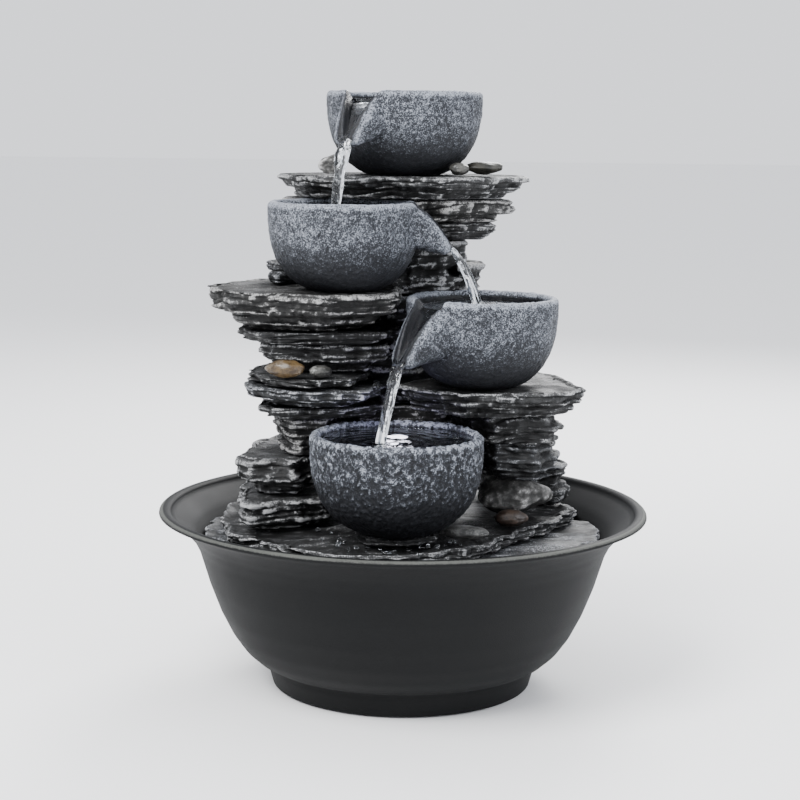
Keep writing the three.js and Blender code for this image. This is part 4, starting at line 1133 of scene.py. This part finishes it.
def water_paint():
    """Clear water, with a white coat where the froth attribute is high: partly a broken froth and partly a
    painted highlight for the bright glints of running water.
    """
    material, start, shader = new_paint("water_clear", IOR=1.333, Transmission_Weight=1.0, Roughness=0.02)
    shader.inputs["Base Color"].default_value = (0.94, 0.97, 1.0, 1)
    roughen(start, shader, specks(start, 420, 2, 0.5), 0.35, 0.5)
    tree = start.tree
    froth_and_highlight = start.node("BsdfPrincipled", None, {"Base Color": (0.85, 0.88, 0.92, 1), "Roughness": 0.35})
    mask = (attribute(start, "froth_and_highlight") + (specks(start, 700, 3, 0.7) - 0.5) * 1.6).between(0.55, 0.95)
    clear = Term(tree, shader.outputs["BSDF"])
    both = start.node("MixShader", None, {0: mask, 1: clear, 2: froth_and_highlight})
    tree.links.new(both.socket, tree.nodes["Material Output"].inputs["Surface"])
    return material


WATER = water_paint()
print("water", WATER.name)

# %% The path of a pour
POOL_DROP = 4.0  # how far a pouring bowl's pool lies below its rim
BRIM_DROP = 2.4  # and the lowest bowl's
PATH_ROWS = 75  # in the channel, and as many in the air
DIP = 1.5  # how far below the next pool's surface a pour ends
POUR_COLUMNS = 28


def pool_height(bowl):
    """The lowest bowl is full to the brim, and the others as deep as their chutes let them fill."""
    return bowl["place"][2] + bowl["height"] - (POOL_DROP if "tip" in bowl else BRIM_DROP)


def pour_path(bowl, landing_height, throw):
    """Along the channel's floor, then out by throw s and down by fall (0.35 s + 0.65 s^2), and smoothed."""
    radius, height, tip, drop = bowl["radius"], bowl["height"], bowl["tip"], bowl["drop"]
    out = np.array([radius - 12, radius - 7, radius - 3, radius, tip - 4, tip - 0.5])
    bed = height - np.array([6.5, 6.9, 7.4, 9.2, drop + 0.2 - 3.4, drop - 0.6])
    along = np.linspace(0, 1, PATH_ROWS)
    knots = np.linspace(0, 1, len(out))
    x, z = np.interp(along, knots, out), np.interp(along, knots, bed) + 0.9
    s = np.linspace(0, 1, PATH_ROWS + 1)[1:]
    fall = bowl["place"][2] + z[-1] - landing_height
    x = np.concatenate([x, x[-1] + throw * s])
    z = np.concatenate([z, z[-1] - fall * (0.35 * s + 0.65 * s**2)])
    blur = np.ones(9) / 9
    x, z = (np.convolve(np.pad(v, 4, mode="edge"), blur, mode="valid") for v in (x, z))
    return np.stack([x, 0 * x, z], -1)


# %% The pours


def carried(path, half_width, half_thick):
    """Closed sections across a path in the plane y = 0: y = w cos, and t sin along the path's normal."""
    step = np.gradient(path, axis=0)
    step /= np.linalg.norm(step, axis=1, keepdims=True)
    normal = np.stack([-step[:, 2], 0 * step[:, 0], step[:, 0]], -1)
    turn = around(POUR_COLUMNS)
    side = np.array([0.0, 1.0, 0.0])
    grid = path[:, None] + side * (half_width[:, None] * np.cos(turn))[..., None]
    return grid + normal[:, None] * (half_thick[:, None] * np.sin(turn))[..., None]


def make_pour(name, bowl, below, throw, widths, seed, offset=0.0, start=0.0):
    """widths are the half width in the channel, at the lip, halfway down and where the pour lands, offset
    is how far it has drifted sideways by then, and start is the share of the path that is left out.
    Returns the place where it ends."""
    path = pour_path(bowl, pool_height(below) - DIP, throw)
    path = path[int(start * len(path)):]
    share = np.linspace(start, 1, len(path))
    half_width = np.interp(share, [0, 0.3, 0.5, 0.72, 1], [widths[0], widths[0], *widths[1:]])
    half_thick = np.interp(share, [0, 0.45, 0.6, 1], [0.8, 1.1, 1.3, 1.5]) * min(1, widths[2] / 2)
    waver = 0.5 * noise(np.stack([share * 60, 0 * share, 0 * share], -1), 9, seed)
    grid = carried(path, half_width, half_thick)
    grid[..., 1] += (offset * eased(share, 0.35, 1.0) + waver)[:, None]
    down = np.broadcast_to(share[:, None] * 95, grid.shape[:2])
    flow = np.stack([grid[..., 1], down, grid[..., 0] * 0.3], -1)
    swell = 0.55 * fractal(flow, (2.6, 11, 3), 3, seed) * eased(share, 0.1, 0.55)[:, None]
    middle = grid.mean(1, keepdims=True)
    grid = middle + (grid - middle) * (1 + swell[..., None])
    streaks = eased(fractal(flow, (1.6, 16, 3), 2, seed + 4), 0.1, 0.5)
    # White where the pour lands, as froth. White along streaks from halfway down, as a painted highlight for
    # the glints on the falling water.
    froth_and_highlight = eased(share, 0.9, 1.02)[:, None] * 0.6 + streaks * eased(share, 0.35, 0.5)[:, None] * 0.75
    mesh = mesh_of(name, *shell_of(placed(grid, bowl)), {"froth_and_highlight": with_poles(froth_and_highlight)})
    add_piece(mesh, WATER, "rockwork")
    return placed(path[-1:], bowl)[0]


TOP, UPPER, MIDDLE, LOW = BOWLS
LANDINGS = {
    "bowl_upper": make_pour("pour_top", TOP, UPPER, 8, (7.5, 3.9, 3.5, 2.9), 11),
    "bowl_middle": make_pour("pour_upper", UPPER, MIDDLE, 12, (7.5, 3.8, 3.2, 2.8), 12, offset=-1.2),
    "bowl_low": make_pour("pour_middle", MIDDLE, LOW, 10, (7.5, 3.9, 3.4, 2.7), 13),
}
make_pour("pour_upper_strand", UPPER, MIDDLE, 15, (1.6, 1.5, 1.2, 1.0), 17, offset=4.2, start=0.42)
print("pours land at", {key: np.round(value).tolist() for key, value in LANDINGS.items()})

# %% Pools
POOL_COLUMNS = 180
POOL_ROWS = 70
WAVE = 5.5  # from one ring to the next
STILL = 9  # how far out the rings have sunk to half
WATER_LEVEL = 61.0  # in the basin
WATER_BED = 22  # and where that water ends below
OVERFLOW = np.array([0.0, -60.0, 0.0])  # where the lowest bowl drips over into it


def pool_grid(centre, wall, top, source, swell):
    """The wall's rings from the middle of the bed, and a top raised by rings at distance d from where the
    water lands: cos(2 pi d / wave) / (1 + (d / still)^1.5), plus a slow noise."""
    radius = wall[-1][0]
    shrink = 1 - np.linspace(0, 1, POOL_ROWS)[:-1] * 0.985
    flat = centre[:2] + radius * shrink[:, None, None] * on_circle(around(POOL_COLUMNS))
    away = np.linalg.norm(flat - source[:2], axis=-1)
    spots = np.concatenate([flat, np.zeros(flat.shape[:2] + (1,))], -1)
    rings = np.cos(2 * math.pi * away / WAVE) / (1 + (away / STILL) ** 1.5) + 0.6 * fractal(spots, 7, 2, 5)
    upper = np.concatenate([flat, (top + swell * rings)[..., None]], -1)
    bed = np.stack([np.linspace(0.05, 0.9, 5) * wall[0][0], np.full(5, wall[0][1])], -1)
    lower = turned(np.concatenate([bed, wall[:-1]]), POOL_COLUMNS) + (*centre[:2], 0)
    return np.concatenate([lower, upper]), away


def make_pool(name, body, centre, wall, top, source, swell, churn):
    """The wall is the pool's radius at each height, from its bed up to its top, swell is how high its rings
    are, and churn is how white it is where a pour lands."""
    grid, away = pool_grid(centre, wall, top, source, swell)
    calm = np.zeros((len(grid) - len(away), POOL_COLUMNS))
    froth_and_highlight = np.concatenate([calm, churn * (1 - eased(away, 1.5, 7.5))])
    add_piece(mesh_of(name, *shell_of(grid), {"froth_and_highlight": with_poles(froth_and_highlight)}), WATER, body)


def wall_radii(node, centre, heights, sunk):
    """The hollow's radius at each height, plus how far the water reaches into the wall."""
    angles = around(60)
    triangles = triangles_of(node)
    radii = [np.median(reach_at(triangles, centre[:2], z, angles, nearest=True)) + sunk for z in heights]
    return np.stack([radii, heights], -1)


outlet = np.append(np.mean(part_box("outlet_nozzle"), 0)[:2] / MM, 0)
for bowl in BOWLS:
    top = pool_height(bowl)
    wall = wall_radii(bowl["node"], bowl["place"], np.array([top - 5, top - 3.5, top - 2]), 0.6)
    wall[-1, 1] = top
    source = LANDINGS.get(bowl["node"], outlet)
    make_pool("pool_" + bowl["node"][5:], "rockwork", bowl["place"], wall, top, source, 0.3, 0.5)

wall = wall_radii("basin", np.zeros(3), np.linspace(WATER_BED, WATER_LEVEL, 12), 0.1)
make_pool("pool_reservoir", "basin", np.zeros(3), wall, WATER_LEVEL, OVERFLOW, 0.15, 0)
print(len(BOWLS), "bowl pools and a reservoir", np.round(wall[[0, -1]], 1).tolist())

# %% [markdown]
# ## Splashes
# Drops that jump out of the lowest bowl lie on the terrace in front of it. A drop is half an ellipsoid
# that sits flat on the stone, with only a few dozen faces, and all of them are one piece.

# %% Drops on the terrace
DROPS = 46
DROP_ROWS, DROP_COLUMNS = 5, 12


def make_drops():
    """Each drop: r cos(rise) round its middle and h sin(rise) above the stone, with h from 0.35 to 1.1 r."""
    spots = np.random.default_rng(8)
    bearing = math.radians(-90) + spots.normal(0, 0.75, DROPS)
    away = spots.uniform(24, 38, DROPS)
    middle = LOW["place"][:2] * 0.86 + away[:, None] * on_circle(bearing)
    middle[:, 1] = np.clip(middle[:, 1], -83, None)
    radius = 0.4 + 1.1 * spots.random(DROPS) ** 2.4
    tall = radius * spots.uniform(0.35, 1.1, DROPS)
    terrace_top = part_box("terrace_slab")[1][2] / MM + 0.2
    rise = np.linspace(-0.2, 0.92, DROP_ROWS) * math.pi / 2
    ring = np.cos(rise)[:, None, None] * on_circle(around(DROP_COLUMNS))
    flat = middle[:, None, None] + radius[:, None, None, None] * ring
    height = terrace_top + tall[:, None, None] * np.sin(rise)[None, :, None] + np.zeros((1, 1, DROP_COLUMNS))
    shells = [shell_of(grid) for grid in np.concatenate([flat, height[..., None]], -1)]
    size = len(shells[0][0])
    points = np.concatenate([shell[0] for shell in shells])
    quads = np.concatenate([shell[1] + size * i for i, shell in enumerate(shells)])
    fans = np.concatenate([shell[2] + size * i for i, shell in enumerate(shells)])
    # Some drops are partly white. This is a painted glint on the drops.
    froth_and_highlight = np.repeat(spots.uniform(0, 0.5, DROPS), size)
    add_piece(mesh_of("splash_drops", points, quads, fans, {"froth_and_highlight": froth_and_highlight}), WATER, "rockwork")


make_drops()
print(DROPS, "drops")
